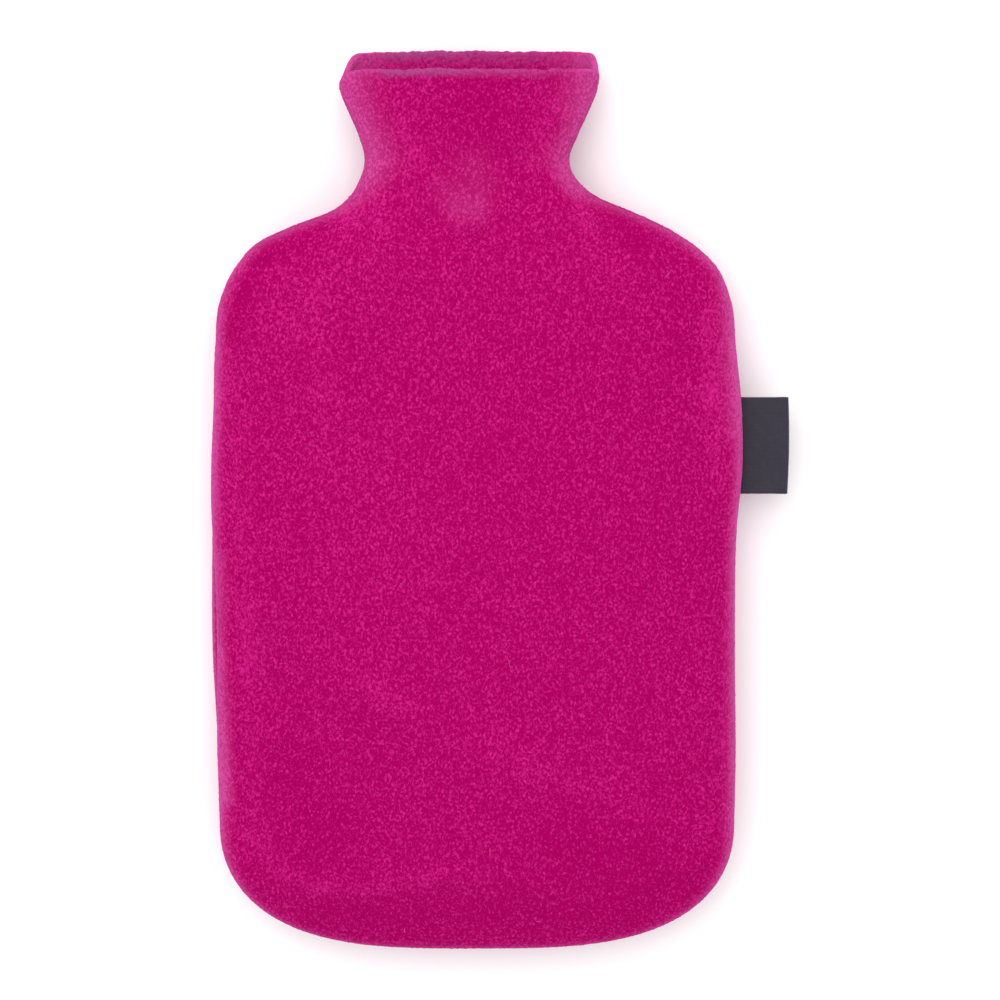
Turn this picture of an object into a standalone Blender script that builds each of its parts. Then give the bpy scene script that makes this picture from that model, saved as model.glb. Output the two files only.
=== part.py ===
"""A fleece cover for a two-litre hot water bottle, lying on its back in the shape that a filled bottle gives it.

Two cut panels, a front and a back, are sewn together down both sides and round the bottom, and are open at the
mouth. Their seam allowances are turned inwards and lie face to face inside the cover. A bare folded ribbon is
caught in the seam at the right-hand side.

Metres, +Z up out of the front panel, +Y towards the mouth, +X to the right seen from the front. The origin lies
on the flat of the back panel, on the surface that the cover rests on.
"""

import math

import bpy
import numpy as np

MM = 0.001

# The cloth and the seam.
CLOTH = 2.5 * MM
SEAM_GAP = 0.3 * MM
SEAM_HEIGHT = 20.0 * MM
SEAM_TURN = 3.0 * MM
SEAM_ALLOWANCE = 5.5 * MM

# At the left-hand side the seam has rolled a little over onto the front: where, how long, and how far.
ROLL_MIDDLE = -48.0 * MM
ROLL_HALF_LENGTH = 52.0 * MM
FRONT_ROLL = 2.3 * MM

# The outline at the seam: the height up the cover, then how far the left and the right edge lie from the middle.
OUTLINE_ROWS = (
    # y, left, right
    (172.0, 44.8, 46.4),
    (164.0, 48.3, 46.8),
    (157.0, 49.6, 46.4),
    (148.7, 46.6, 43.2),
    (140.0, 42.9, 39.3),
    (130.3, 40.7, 36.1),
    (122.5, 42.9, 39.3),
    (116.0, 47.0, 47.3),
    (111.0, 53.4, 59.2),
    (105.8, 67.0, 70.7),
    (99.7, 80.2, 81.0),
    (91.2, 88.6, 90.6),
    (79.0, 94.7, 96.4),
    (60.6, 97.0, 98.7),
    (37.6, 97.9, 101.0),
    (16.0, 99.0, 101.5),
    (-8.0, 99.3, 99.7),
    (-54.4, 99.8, 99.4),
    (-100.0, 97.9, 100.1),
    (-123.3, 97.4, 99.8),
)

# The closed end, a superellipse below the last row: its depth, and how square it is across and along.
END_DEPTH = 49.3 * MM
END_SQUARE_ACROSS = 3.2
END_SQUARE_ALONG = 2.2

# How far the middle of each panel stands from the seam, up the cover.
FULLNESS_ROWS = (
    # y, front, back
    (175.0, 14.5, 13.0),
    (150.0, 14.0, 12.5),
    (130.0, 14.5, 13.0),
    (112.0, 18.0, 17.0),
    (92.0, 22.0, 20.0),
    (60.0, 24.0, 20.0),
    (0.0, 25.0, 20.0),
    (-60.0, 24.6, 20.0),
    (-110.0, 22.6, 20.0),
    (-172.6, 19.0, 20.0),
)
FRONT_ROUND = 2.45
BACK_ROUND = 2.3
BACK_FLAT_SHARE = 0.58

# How far out, as a share of the half width, the seam starts to part the panels, and how near it the folds end.
SEAM_LIFT_START = 0.7
FOLD_FADE = 0.12

# The mouth: where each side seam ends, the level that each lip runs at, and how squarely it drops to the seams.
SEAM_END_LEFT = 161.0 * MM
SEAM_END_RIGHT = 163.5 * MM
FRONT_LIP = 165.4 * MM
BACK_LIP = 170.2 * MM
FRONT_LIP_SQUARE = 26
BACK_LIP_SQUARE = 90
LIP_REACH = 30.0 * MM
LEVEL_REACH = 45.0 * MM

# Soft folds in the front panel, each a straight run: its two ends, its half width and its height.
FRONT_FOLDS = (
    # x0, y0, x1, y1, half width, height
    (43.0, 118.0, 53.0, 99.0, 7.0, -2.0),
    (-82.0, 93.0, -62.0, 96.0, 7.0, -1.4),
    (-38.0, 116.0, -52.0, 42.0, 12.0, 1.1),
    (32.0, 124.0, 46.0, 92.0, 9.0, 1.3),
    (-1.0, 112.0, -2.0, 108.5, 6.0, 1.6),
    (-47.0, -62.0, -33.0, -73.0, 8.0, 1.0),
    (-33.0, -73.0, 10.0, -95.0, 9.0, 1.0),
    (10.0, -95.0, 63.0, -116.0, 10.0, 0.8),
    (-70.0, -148.0, -13.0, -140.0, 6.0, 0.7),
    (-13.0, -140.0, 26.0, -144.0, 6.0, 0.7),
    (-84.0, -50.0, -80.0, -64.0, 9.0, -1.0),
)

# The ribbon at the right-hand side: its middle up the cover, its length, its reach past and into the seam.
LABEL_MIDDLE = 22.6 * MM
LABEL_LENGTH = 36.7 * MM
LABEL_FOLD_X = 119.0 * MM
LABEL_END_X = 95.5 * MM
LABEL_LAYER = 1.0 * MM
LABEL_LOOP = 0.4 * MM
LABEL_MARGIN = 6.5 * MM
LABEL_EASE = 6.0 * MM
LABEL_FOLD_STEPS = 6

# How finely the solids are laid out.
SIDE_STEPS = 34
ACROSS_STEPS = 16
TURN_STEPS = 3
TURN_ROWS = TURN_STEPS + 2
FLANK_INSETS = (0.5 * MM, 1.8 * MM, 4.5 * MM, 9.0 * MM, 16.5 * MM)
OUTLINE_SAMPLES = 1200
BEND_WEIGHT = 22.0 * MM
CORNER_SLOPE = math.radians(45)

FLEECE_COLOUR = (0.474, 0.004, 0.147, 1.0)
RIBBON_COLOUR = (0.044, 0.037, 0.054, 1.0)


def through_rows(rows, column, y):
    """The smooth curve through one column of a table, as cubic pieces whose slopes come from the rows' neighbours."""
    table = np.array(sorted(rows)) * MM
    at, value = table[:, 0], table[:, column]
    slope = np.gradient(value, at)
    y = np.clip(y, at[0], at[-1])
    k = np.clip(np.searchsorted(at, y) - 1, 0, len(at) - 2)
    span = at[k + 1] - at[k]
    t = (y - at[k]) / span
    return (
        (1 + 2 * t) * (1 - t) ** 2 * value[k]
        + t * (1 - t) ** 2 * span * slope[k]
        + t * t * (3 - 2 * t) * value[k + 1]
        + t * t * (t - 1) * span * slope[k + 1]
    )


END_START = OUTLINE_ROWS[-1][0] * MM


def eased(t):
    """0 to 1 with a level start and end."""
    return t * t * (3 - 2 * t)


def half_width(side, y):
    """How far the edge lies from the middle at this height, at the left for a side below 0 and else at the right."""
    return np.where(side < 0, through_rows(OUTLINE_ROWS, 1, y), through_rows(OUTLINE_ROWS, 2, y))


def share_out(x, y):
    """0 along the middle of the cover, 1 at its outline: across it above the closed end, and both ways in the end."""
    across = np.abs(x) / half_width(x, y)
    along = np.clip((END_START - y) / END_DEPTH, 0, None)
    both = across**END_SQUARE_ACROSS + along**END_SQUARE_ALONG
    return np.clip(both ** (1 / END_SQUARE_ACROSS), 0, 1)


def folds(x, y, rows):
    """The sum of the soft folds: each falls off as a bell with the distance from its run."""
    total = np.zeros_like(x)
    for x0, y0, x1, y1, half, height in np.array(rows) * MM:
        run = np.array((x1 - x0, y1 - y0))
        t = np.clip(((x - x0) * run[0] + (y - y0) * run[1]) / (run @ run), 0, 1)
        away = np.hypot(x - x0 - t * run[0], y - y0 - t * run[1])
        total += height * np.exp(-((away / half) ** 2))
    return total


def label_spread(x, y):
    """How far the ribbon in the seam pushes each panel's edge away, at the right-hand side only."""
    past = np.clip((np.abs(y - LABEL_MIDDLE) - LABEL_LENGTH / 2 - LABEL_MARGIN) / LABEL_EASE, 0, 1)
    return np.where(x > 0, (1 - eased(past)) * (LABEL_LAYER + LABEL_LOOP / 2 + SEAM_GAP / 2), 0)


def seam_lift(x, y):
    """Half the gap between the panels at the seam, which dies away inside the cover."""
    near = np.clip((share_out(x, y) - SEAM_LIFT_START) / (1 - SEAM_LIFT_START), 0, 1) ** 2
    return near * (SEAM_GAP / 2 + label_spread(x, y))


def front_face(x, y):
    """Height of the front panel's outer face: a superellipse across the cover, with its folds."""
    out = share_out(x, y)
    rise = through_rows(FULLNESS_ROWS, 1, y) - SEAM_TURN
    crown = (1 - out**FRONT_ROUND) ** (1 / FRONT_ROUND)
    fold = folds(x, y, FRONT_FOLDS) * np.clip((1 - out) / FOLD_FADE, 0, 1)
    return SEAM_HEIGHT + seam_lift(x, y) + SEAM_TURN + rise * crown + fold


def back_face(x, y):
    """Height of the back panel's outer face: round near the seam, and flat where the cover rests, never lower."""
    out = np.clip((share_out(x, y) - BACK_FLAT_SHARE) / (1 - BACK_FLAT_SHARE), 0, 1)
    drop = np.minimum(through_rows(FULLNESS_ROWS, 2, y), SEAM_HEIGHT) - SEAM_TURN
    crown = (1 - out**BACK_ROUND) ** (1 / BACK_ROUND)
    return SEAM_HEIGHT - seam_lift(x, y) - SEAM_TURN - drop * crown


def seam_line():
    """The seam in plan, from the left of the mouth round the closed end to the right of the mouth."""
    left_y = np.linspace(SEAM_END_LEFT, END_START, OUTLINE_SAMPLES)
    right_y = np.linspace(END_START, SEAM_END_RIGHT, OUTLINE_SAMPLES)
    angle = np.linspace(math.pi, 0, OUTLINE_SAMPLES)
    across, along = np.cos(angle), np.sin(angle)
    end_x = np.sign(across) * np.abs(across) ** (2 / END_SQUARE_ACROSS)
    end_x = end_x * half_width(across, np.full_like(across, END_START))
    end_y = END_START - END_DEPTH * np.abs(along) ** (2 / END_SQUARE_ALONG)
    left_x = -half_width(np.full_like(left_y, -1), left_y)
    right_x = half_width(np.full_like(right_y, 1), right_y)
    x = np.concatenate([left_x, end_x[1:-1], right_x])
    y = np.concatenate([left_y, end_y[1:-1], right_y])
    return np.stack([x, y], axis=1)


def mouth_line(x):
    """Height of the straight line between the two ends of the side seams, at this place across the mouth."""
    left_x = -half_width(np.array(-1.0), np.array(SEAM_END_LEFT))
    right_x = half_width(np.array(1.0), np.array(SEAM_END_RIGHT))
    return SEAM_END_LEFT + (SEAM_END_RIGHT - SEAM_END_LEFT) * (x - left_x) / (right_x - left_x)


def seam_stations():
    """Points along the seam and the way outwards at each, closer together where the seam bends.

    The two bottom corners, where the seam runs at 45 degrees, fall on the points that end the sides. Near the
    mouth the way outwards turns to run along the mouth, so that the rows of points end level with it.
    """
    line = seam_line()
    step = np.diff(line, axis=0)
    run = np.hypot(step[:, 0], step[:, 1])
    heading = np.unwrap(np.arctan2(step[:, 1], step[:, 0]))
    turn = np.abs(np.diff(heading, prepend=heading[0]))
    measure = np.concatenate([[0], np.cumsum(run + BEND_WEIGHT * turn)])
    tangent = np.gradient(line, measure, axis=0)
    tangent /= np.linalg.norm(tangent, axis=1, keepdims=True)
    bottom = np.argmin(line[:, 1])
    slope = np.abs(tangent[:, 1])
    low = line[:, 1] < END_START
    left_corner = np.flatnonzero(low & (slope > math.sin(CORNER_SLOPE)) & (np.arange(len(line)) < bottom))[-1]
    right_corner = np.flatnonzero(low & (slope > math.sin(CORNER_SLOPE)) & (np.arange(len(line)) > bottom))[0]
    marks = measure[[0, left_corner, right_corner, -1]]
    counts = (SIDE_STEPS, ACROSS_STEPS, SIDE_STEPS)
    at = [np.linspace(a, b, n, endpoint=False) for a, b, n in zip(marks, marks[1:], counts)]
    at = np.append(np.concatenate(at), marks[-1])
    points = np.stack([np.interp(at, measure, line[:, i]) for i in (0, 1)], axis=1)
    along = np.stack([np.interp(at, measure, tangent[:, i]) for i in (0, 1)], axis=1)
    along /= np.linalg.norm(along, axis=1, keepdims=True)
    outwards = np.stack([along[:, 1], -along[:, 0]], axis=1)
    level = np.sign(points[:, :1]) * (points[-1] - points[0]) / np.linalg.norm(points[-1] - points[0])
    near_mouth = np.clip(1 - (mouth_line(points[:, 0]) - points[:, 1]) / LEVEL_REACH, 0, 1)[:, None]
    outwards = outwards + (level - outwards) * eased(near_mouth)
    return points, outwards / np.linalg.norm(outwards, axis=1, keepdims=True)


def rim_rows(face, up, roll):
    """The panel's edge, row by row: the turned-in allowance, the turn, and the flank up to where the middle starts.

    Each row is the seam moved inwards by its inset. The allowance and the turn take their heights from the seam,
    and the flank takes them from the face. Where the seam has rolled, the rows start further in, by less and less
    up the flank.
    """
    points, outwards = seam_stations()
    along_roll = np.clip(1 - ((points[:, 1] - ROLL_MIDDLE) / ROLL_HALF_LENGTH) ** 2, 0, 1)
    rolled = np.where(points[:, 0] < 0, roll * along_roll**2, 0)[:, None]
    angles = np.linspace(0, math.pi / 2, TURN_STEPS + 1)
    turned = [(SEAM_TURN + SEAM_ALLOWANCE, 0.0)]
    turned += [(SEAM_TURN * (1 - math.sin(a)), SEAM_TURN * (1 - math.cos(a))) for a in angles]
    lift = SEAM_GAP / 2 + label_spread(points[:, 0], points[:, 1])
    rows = []
    for inset, height in turned:
        plan = points - (inset + rolled) * outwards
        rows.append(np.column_stack([plan, SEAM_HEIGHT + up * (lift + height)]))
    for inset in FLANK_INSETS:
        plan = points - (inset + rolled * (1 - inset / FLANK_INSETS[-1])) * outwards
        rows.append(np.column_stack([plan, face(plan[:, 0], plan[:, 1])]))
    return np.array(rows)


def middle_grid(edge, face):
    """The panel's middle: a grid blended from its four sides (a Coons patch), with its heights from the face."""
    left = edge[: SIDE_STEPS + 1]
    bottom = edge[SIDE_STEPS : SIDE_STEPS + ACROSS_STEPS + 1]
    right = edge[SIDE_STEPS + ACROSS_STEPS :][::-1]
    u = np.linspace(0, 1, ACROSS_STEPS + 1)[None, :, None]
    v = np.linspace(0, 1, SIDE_STEPS + 1)[:, None, None]
    top = left[0] + (right[0] - left[0]) * u[0]
    sides = (1 - u) * left[:, None] + u * right[:, None]
    ends = (1 - v) * top[None] + v * bottom[None]
    corners = (1 - v) * ((1 - u) * left[0] + u * right[0]) + v * ((1 - u) * left[-1] + u * right[-1])
    grid = sides + ends - corners
    grid[:, :, 2] = face(grid[:, :, 0], grid[:, :, 1])
    return grid


def lip_shift(points, lip, square):
    """How far the mouth's edge rises from the line between the seams' ends to its level, fading down the neck."""
    out = np.clip(np.abs(points[:, 0]) / half_width(points[:, 0], points[:, 1]), 0, 1)
    line = mouth_line(points[:, 0])
    fade = np.clip(1 - (line - points[:, 1]) / LIP_REACH, 0, 1)
    return (lip - line) * (1 - out**square) * fade * fade


def grid_faces(index):
    """Four-sided faces over a grid of point numbers."""
    around = (index[:-1, :-1], index[1:, :-1], index[1:, 1:], index[:-1, 1:])
    return np.stack([corner.ravel() for corner in around], axis=1)


def panel_surface(face, up, lip, square, roll):
    """Points and faces of a panel's outer face, the faces turned out of the cover."""
    rim = rim_rows(face, up, roll)
    rows, columns = rim.shape[:2]
    middle = middle_grid(rim[-1], face)
    rim_index = np.arange(rows * columns).reshape(rows, columns)
    middle_index = np.full(middle.shape[:2], -1)
    middle_index[:, 0] = rim_index[-1, : SIDE_STEPS + 1]
    middle_index[-1, :] = rim_index[-1, SIDE_STEPS : SIDE_STEPS + ACROSS_STEPS + 1]
    middle_index[:, -1] = rim_index[-1, SIDE_STEPS + ACROSS_STEPS :][::-1]
    new = middle_index < 0
    middle_index[new] = rows * columns + np.arange(new.sum())
    points = np.concatenate([rim.reshape(-1, 3), middle[new]])
    turned = TURN_ROWS * columns
    points[turned:, 1] += lip_shift(points[turned:], lip, square)
    faces = np.concatenate([grid_faces(rim_index)[:, ::-1], grid_faces(middle_index)])
    return points, faces if up > 0 else faces[:, ::-1]


def mesh_object(name, points, faces, material, collection):
    mesh = bpy.data.meshes.new(name)
    mesh.from_pydata(points.tolist(), [], faces.tolist())
    mesh.materials.append(material)
    mesh.shade_smooth()
    obj = bpy.data.objects.new(name, mesh)
    collection.objects.link(obj)
    return obj


def add_panel(name, surface, material, collection):
    """A cut panel of fleece: its outer face, with the cloth's thickness added inwards."""
    points, faces = surface
    panel = mesh_object(name, points, faces, material, collection)
    cloth = panel.modifiers.new("cloth", "SOLIDIFY")
    cloth.thickness = CLOTH
    cloth.offset = -1
    cloth.use_even_offset = True
    return panel


def add_label(material, collection):
    """The ribbon: a strip folded on itself, seen end on as a narrow loop and run the length of the label."""
    half = LABEL_LOOP / 2
    outer = half + LABEL_LAYER
    centre = LABEL_FOLD_X - outer
    turns = [math.pi / 2 * (1 - 2 * i / LABEL_FOLD_STEPS) for i in range(LABEL_FOLD_STEPS + 1)]
    outside = [(centre + outer * math.cos(a), outer * math.sin(a)) for a in turns]
    inside = [(centre + half * math.cos(a), half * math.sin(a)) for a in reversed(turns)]
    section = [(LABEL_END_X, outer), *outside, (LABEL_END_X, -outer), (LABEL_END_X, -half), *inside, (LABEL_END_X, half)]
    curve = bpy.data.curves.new("side_label", "CURVE")
    curve.dimensions = "2D"
    curve.fill_mode = "BOTH"
    curve.extrude = LABEL_LENGTH / 2
    spline = curve.splines.new("POLY")
    spline.points.add(len(section) - 1)
    for point, (x, z) in zip(spline.points, section):
        point.co = (x, z, 0, 1)
    spline.use_cyclic_u = True
    curve.materials.append(material)
    label = bpy.data.objects.new("side_label", curve)
    label.location = (0, LABEL_MIDDLE, SEAM_HEIGHT)
    label.rotation_euler = (math.pi / 2, 0, 0)
    collection.objects.link(label)
    return label


def plain_material(name, colour, roughness):
    material = bpy.data.materials.new(name)
    material.use_nodes = True
    shader = material.node_tree.nodes["Principled BSDF"]
    shader.inputs["Base Color"].default_value = colour
    shader.inputs["Roughness"].default_value = roughness
    shader.inputs["Metallic"].default_value = 0.0
    return material


def clear_scene():
    for obj in list(bpy.data.objects):
        bpy.data.objects.remove(obj, do_unlink=True)


def main():
    clear_scene()
    cover = bpy.data.collections.new("hot_water_bottle_cover")
    bpy.context.scene.collection.children.link(cover)
    fleece = plain_material("pink_fleece", FLEECE_COLOUR, 0.95)
    ribbon = plain_material("charcoal_ribbon", RIBBON_COLOUR, 0.7)
    front = panel_surface(front_face, 1, FRONT_LIP, FRONT_LIP_SQUARE, FRONT_ROLL)
    back = panel_surface(back_face, -1, BACK_LIP, BACK_LIP_SQUARE, 0)
    add_panel("front_panel", front, fleece, cover)
    add_panel("back_panel", back, fleece, cover)
    add_label(ribbon, cover)


main()
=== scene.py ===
"""The looks of a fleece cover for a hot water bottle: two panels of curly fleece, their tufts, a bare
ribbon in the side seam, the seam's stitches, and a pale floor with soft light.

Metres, +Z up out of the front panel, +Y towards the mouth, +X to the right seen from the front.
"""

import functools
import math
from dataclasses import dataclass
from typing import Callable

import bmesh
import bpy
import numpy as np
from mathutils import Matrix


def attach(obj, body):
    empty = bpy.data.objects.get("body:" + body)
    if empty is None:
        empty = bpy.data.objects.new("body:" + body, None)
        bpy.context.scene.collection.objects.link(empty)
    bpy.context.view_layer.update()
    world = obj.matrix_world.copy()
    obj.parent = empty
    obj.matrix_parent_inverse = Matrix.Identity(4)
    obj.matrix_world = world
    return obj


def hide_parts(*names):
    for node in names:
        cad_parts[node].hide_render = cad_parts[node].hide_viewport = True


bl_info = {
    "name": "Hot water bottle cover",
    "version": (1, 0, 0),
    "blender": (4, 5, 0),
    "location": "View3D > Sidebar > Cover",
    "description": "Dresses a hot water bottle cover in curly fleece, with its ribbon, stitches and studio",
    "category": "Object",
}

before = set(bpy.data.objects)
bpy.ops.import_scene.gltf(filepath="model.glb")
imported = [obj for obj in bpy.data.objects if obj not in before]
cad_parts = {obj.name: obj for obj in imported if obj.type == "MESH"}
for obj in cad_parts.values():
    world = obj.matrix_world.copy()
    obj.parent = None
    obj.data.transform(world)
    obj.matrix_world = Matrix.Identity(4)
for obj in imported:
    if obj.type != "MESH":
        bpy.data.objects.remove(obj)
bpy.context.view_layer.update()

MM = 0.001

# ---- The cover's shape, in the same sizes as its solids ----

CLOTH = 2.5 * MM
SEAM_GAP = 0.3 * MM
SEAM_HEIGHT = 20.0 * MM
SEAM_TURN = 3.0 * MM
SEAM_ALLOWANCE = 5.5 * MM
FLANK = 16.5 * MM

# At the left-hand side the seam has rolled a little over onto the front: where, how long, and how far.
ROLL_MIDDLE = -48.0 * MM
ROLL_HALF_LENGTH = 52.0 * MM
FRONT_ROLL = 2.3 * MM
ROLL_BLEND = 9.0 * MM

# The outline at the seam: the height up the cover, then how far the left and the right edge lie from the
# middle.
OUTLINE_ROWS = (
    # y, left, right
    (172.0, 44.8, 46.4),
    (164.0, 48.3, 46.8),
    (157.0, 49.6, 46.4),
    (148.7, 46.6, 43.2),
    (140.0, 42.9, 39.3),
    (130.3, 40.7, 36.1),
    (122.5, 42.9, 39.3),
    (116.0, 47.0, 47.3),
    (111.0, 53.4, 59.2),
    (105.8, 67.0, 70.7),
    (99.7, 80.2, 81.0),
    (91.2, 88.6, 90.6),
    (79.0, 94.7, 96.4),
    (60.6, 97.0, 98.7),
    (37.6, 97.9, 101.0),
    (16.0, 99.0, 101.5),
    (-8.0, 99.3, 99.7),
    (-54.4, 99.8, 99.4),
    (-100.0, 97.9, 100.1),
    (-123.3, 97.4, 99.8),
)
END_START = OUTLINE_ROWS[-1][0] * MM
END_DEPTH = 49.3 * MM
END_SQUARE_ACROSS = 3.2
END_SQUARE_ALONG = 2.2

# How far the middle of each panel stands from the seam, up the cover.
FULLNESS_ROWS = (
    # y, front, back
    (175.0, 14.5, 13.0),
    (150.0, 14.0, 12.5),
    (130.0, 14.5, 13.0),
    (112.0, 18.0, 17.0),
    (92.0, 22.0, 20.0),
    (60.0, 24.0, 20.0),
    (0.0, 25.0, 20.0),
    (-60.0, 24.6, 20.0),
    (-110.0, 22.6, 20.0),
    (-172.6, 19.0, 20.0),
)
FRONT_ROUND = 2.45
BACK_ROUND = 2.3
BACK_FLAT_SHARE = 0.58
SEAM_LIFT_START = 0.7
FOLD_FADE = 0.12

# The mouth: where each side seam ends, the level that each lip runs at, and how squarely it drops to the
# seams.
SEAM_END_LEFT = 161.0 * MM
SEAM_END_RIGHT = 163.5 * MM
FRONT_LIP = 165.4 * MM
BACK_LIP = 170.2 * MM
FRONT_LIP_SQUARE = 26
BACK_LIP_SQUARE = 90
LIP_REACH = 30.0 * MM
LEVEL_REACH = 45.0 * MM

# How far the rounded edge of the cloth reaches past the last row of its outer face, and how thick it swells.
LIP_ROUND = 1.4 * MM
LIP_SWELL = 0.35 * MM
LIP_SWELL_REACH = 4.5 * MM
LIP_STEPS = 6

# The side seams' ends below the rounded edge, and how far down each panel's edge at the mouth is painted
# grey: painted sheen and shade.
SEAM_TOP_LEFT, SEAM_TOP_RIGHT = SEAM_END_LEFT - LIP_ROUND, SEAM_END_RIGHT - LIP_ROUND
FRONT_LIP_SHEEN = 2.0 * MM
BACK_LIP_SHEEN = 0.6 * MM

# How far the mouth's edge wanders up and down and over what length, how much of the rounded edge the pile
# makes ragged and how far from the corners, and how much lower the edge lies for that.
LIP_WAVE = 0.9 * MM
LIP_WAVE_LENGTH = 6.0 * MM
LIP_SEED = 3
LIP_RAGGED = 0.6
LIP_RAGGED_REACH = 12.0 * MM
LIP_LOWER = 0.4 * MM

# Soft folds in the front panel, each a straight run: its two ends, its half width and its height.
FRONT_FOLDS = (
    # x0, y0, x1, y1, half width, height
    (43.0, 118.0, 53.0, 99.0, 7.0, -2.0),
    (-82.0, 93.0, -62.0, 96.0, 7.0, -1.4),
    (-38.0, 116.0, -52.0, 42.0, 12.0, 1.1),
    (32.0, 124.0, 46.0, 92.0, 9.0, 1.3),
    (-1.0, 112.0, -2.0, 108.5, 6.0, 1.6),
    (-47.0, -62.0, -33.0, -73.0, 8.0, 1.0),
    (-33.0, -73.0, 10.0, -95.0, 9.0, 1.0),
    (10.0, -95.0, 63.0, -116.0, 10.0, 0.8),
    (-70.0, -148.0, -13.0, -140.0, 6.0, 0.7),
    (-13.0, -140.0, 26.0, -144.0, 6.0, 0.7),
    (-84.0, -50.0, -80.0, -64.0, 9.0, -1.0),
)

# Where the front's pile is flattened and painted pale, or less than beside it: straight runs, each its two
# ends, its half width and how much. The runs along the left and right outline are painted sheen.
PALE_AND_SHEEN_RUNS = (
    # x0, y0, x1, y1, half width, share
    (-4.5, 114.5, 0.5, 114.0, 5.2, 0.28),
    (0.0, 129.0, 2.0, 123.0, 7.0, 0.14),
    (-12.0, 122.0, -9.0, 119.0, 5.0, 0.1),
    (-95.5, -18.0, -96.0, -55.0, 2.6, 0.3),
    (-96.0, -55.0, -93.5, -112.0, 2.4, 0.5),
    (94.0, 84.0, 97.5, 30.0, 3.2, 0.3),
    (32.0, 144.0, 28.0, 126.0, 5.5, -0.25),
)

# Painted light and shade of the front's soft folds, creases and forms: where its pile is painted paler or
# darker than its mean, in runs like those.
PAINTED_SHADING_RUNS = (
    # x0, y0, x1, y1, half width, tone
    (-87.0, 55.0, -87.0, -35.0, 7.0, 0.13),
    (-85.0, -42.0, -85.0, -58.0, 6.5, 0.22),
    (-85.0, -64.0, -84.0, -125.0, 6.0, 0.13),
    (-58.0, 110.0, -78.0, 97.0, 5.0, -0.15),
    (-78.0, 97.0, -86.0, 80.0, 4.5, -0.17),
    (-86.0, 80.0, -91.0, 62.0, 4.0, -0.10),
    (-73.0, 73.0, -66.0, 70.0, 8.0, 0.14),
    (-70.0, 86.0, -66.0, 88.0, 5.0, 0.09),
    (-49.0, 117.0, -46.0, 110.0, 5.0, 0.18),
    (-46.0, 110.0, -58.0, 80.0, 6.0, 0.10),
    (-58.0, 80.0, -54.0, 48.0, 4.5, 0.08),
    (-54.0, 48.0, -59.0, 20.0, 4.0, 0.08),
    (-36.0, 118.0, -35.0, 108.0, 5.0, 0.18),
    (-35.0, 108.0, -41.0, 86.0, 6.0, 0.10),
    (36.0, 124.0, 42.0, 112.0, 4.5, 0.22),
    (42.0, 112.0, 51.0, 90.0, 6.0, 0.12),
    (46.0, 117.0, 60.0, 103.0, 4.5, -0.24),
    (60.0, 103.0, 78.0, 94.0, 5.0, -0.10),
    (87.0, 74.0, 89.0, 45.0, 4.0, 0.30),
    (89.0, 45.0, 91.0, 12.0, 4.0, 0.24),
    (88.0, -40.0, 88.0, -125.0, 5.0, 0.08),
    (75.0, 82.0, 80.0, 60.0, 6.0, -0.08),
    (-47.0, -58.0, -38.0, -65.0, 4.5, 0.10),
    (-39.0, -64.0, -27.0, -73.0, 4.0, 0.15),
    (3.0, -86.0, 20.0, -97.0, 10.0, 0.09),
    (20.0, -97.0, 45.0, -105.0, 5.0, 0.07),
    (45.0, -105.0, 64.0, -112.0, 5.0, 0.07),
    (-68.0, -100.0, -58.0, -124.0, 16.0, -0.13),
    (35.0, -128.0, 62.0, -134.0, 15.0, -0.16),
    (64.0, -151.0, 80.0, -142.0, 7.0, -0.14),
    (-55.0, -154.0, 55.0, -156.0, 8.0, -0.13),
    (-84.0, -125.0, -73.0, -138.0, 3.5, 0.16),
    (-73.0, -138.0, -58.0, -145.0, 3.5, 0.16),
    (-58.0, -145.0, -42.0, -146.0, 3.2, 0.14),
    (-42.0, -146.0, -20.0, -140.0, 3.2, 0.18),
    (-20.0, -140.0, -6.0, -137.0, 3.2, 0.13),
    (-18.0, -24.0, -14.0, -25.0, 3.0, 0.13),
    (0.0, 160.0, 6.0, 142.0, 11.0, -0.10),
    (-26.0, 152.0, -22.0, 130.0, 5.0, 0.14),
    (29.0, 152.0, 24.0, 130.0, 5.0, 0.14),
    (-45.0, 15.0, -30.0, -20.0, 26.0, 0.06),
)

# Painted sheen where the cloth bends round to the seam and turns away: how much at the outline, how far in,
# and how much lighter its tone is painted there.
RIM_SHEEN_ROWS = (
    # y, share, reach, tone
    (175.0, 0.9, 10.5, 0.0),
    (150.0, 0.9, 9.5, 0.0),
    (125.0, 0.9, 8.4, 0.0),
    (112.0, 0.45, 5.0, 0.1),
    (95.0, 0.65, 3.2, 0.2),
    (60.0, 0.95, 3.0, 0.32),
    (-60.0, 0.95, 2.9, 0.32),
    (-120.0, 0.95, 3.0, 0.3),
    (-172.6, 0.75, 2.5, 0.2),
)
# How far in the rim's painted sheen lightens the tone.
RIM_SHEEN_REACH = 5.0 * MM

# The ribbon at the right-hand side: its middle up the cover, its length, its reach past and into the seam.
LABEL_MIDDLE = 22.6 * MM
LABEL_LENGTH = 36.7 * MM
LABEL_FOLD_X = 119.0 * MM
LABEL_END_X = 95.5 * MM
LABEL_LAYER = 1.0 * MM
LABEL_LOOP = 0.4 * MM
LABEL_SPREAD = 0.85 * MM
LABEL_MARGIN = 1.5 * MM
LABEL_EASE = 7.0 * MM

# How finely the cloth is laid out. Steps along the edges come in threes, because the inside has a third of
# them.
THIN = 3
FRONT_STEPS = (318, 159)
BACK_STEPS = (264, 132)
ALLOWANCE_STEPS = 4
TURN_STEPS = 6
FLANK_STEPS = 23
RIM_STEPS = ALLOWANCE_STEPS + TURN_STEPS + FLANK_STEPS
SECTION_SAMPLES = 4000
OUTLINE_SAMPLES = 1200
BEND_WEIGHT = 22.0 * MM
CORNER_SLOPE = math.radians(45)


def eased(t):
    """0 to 1 with a level start and end: three t squared less two t cubed."""
    return t * t * (3 - 2 * t)


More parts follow.
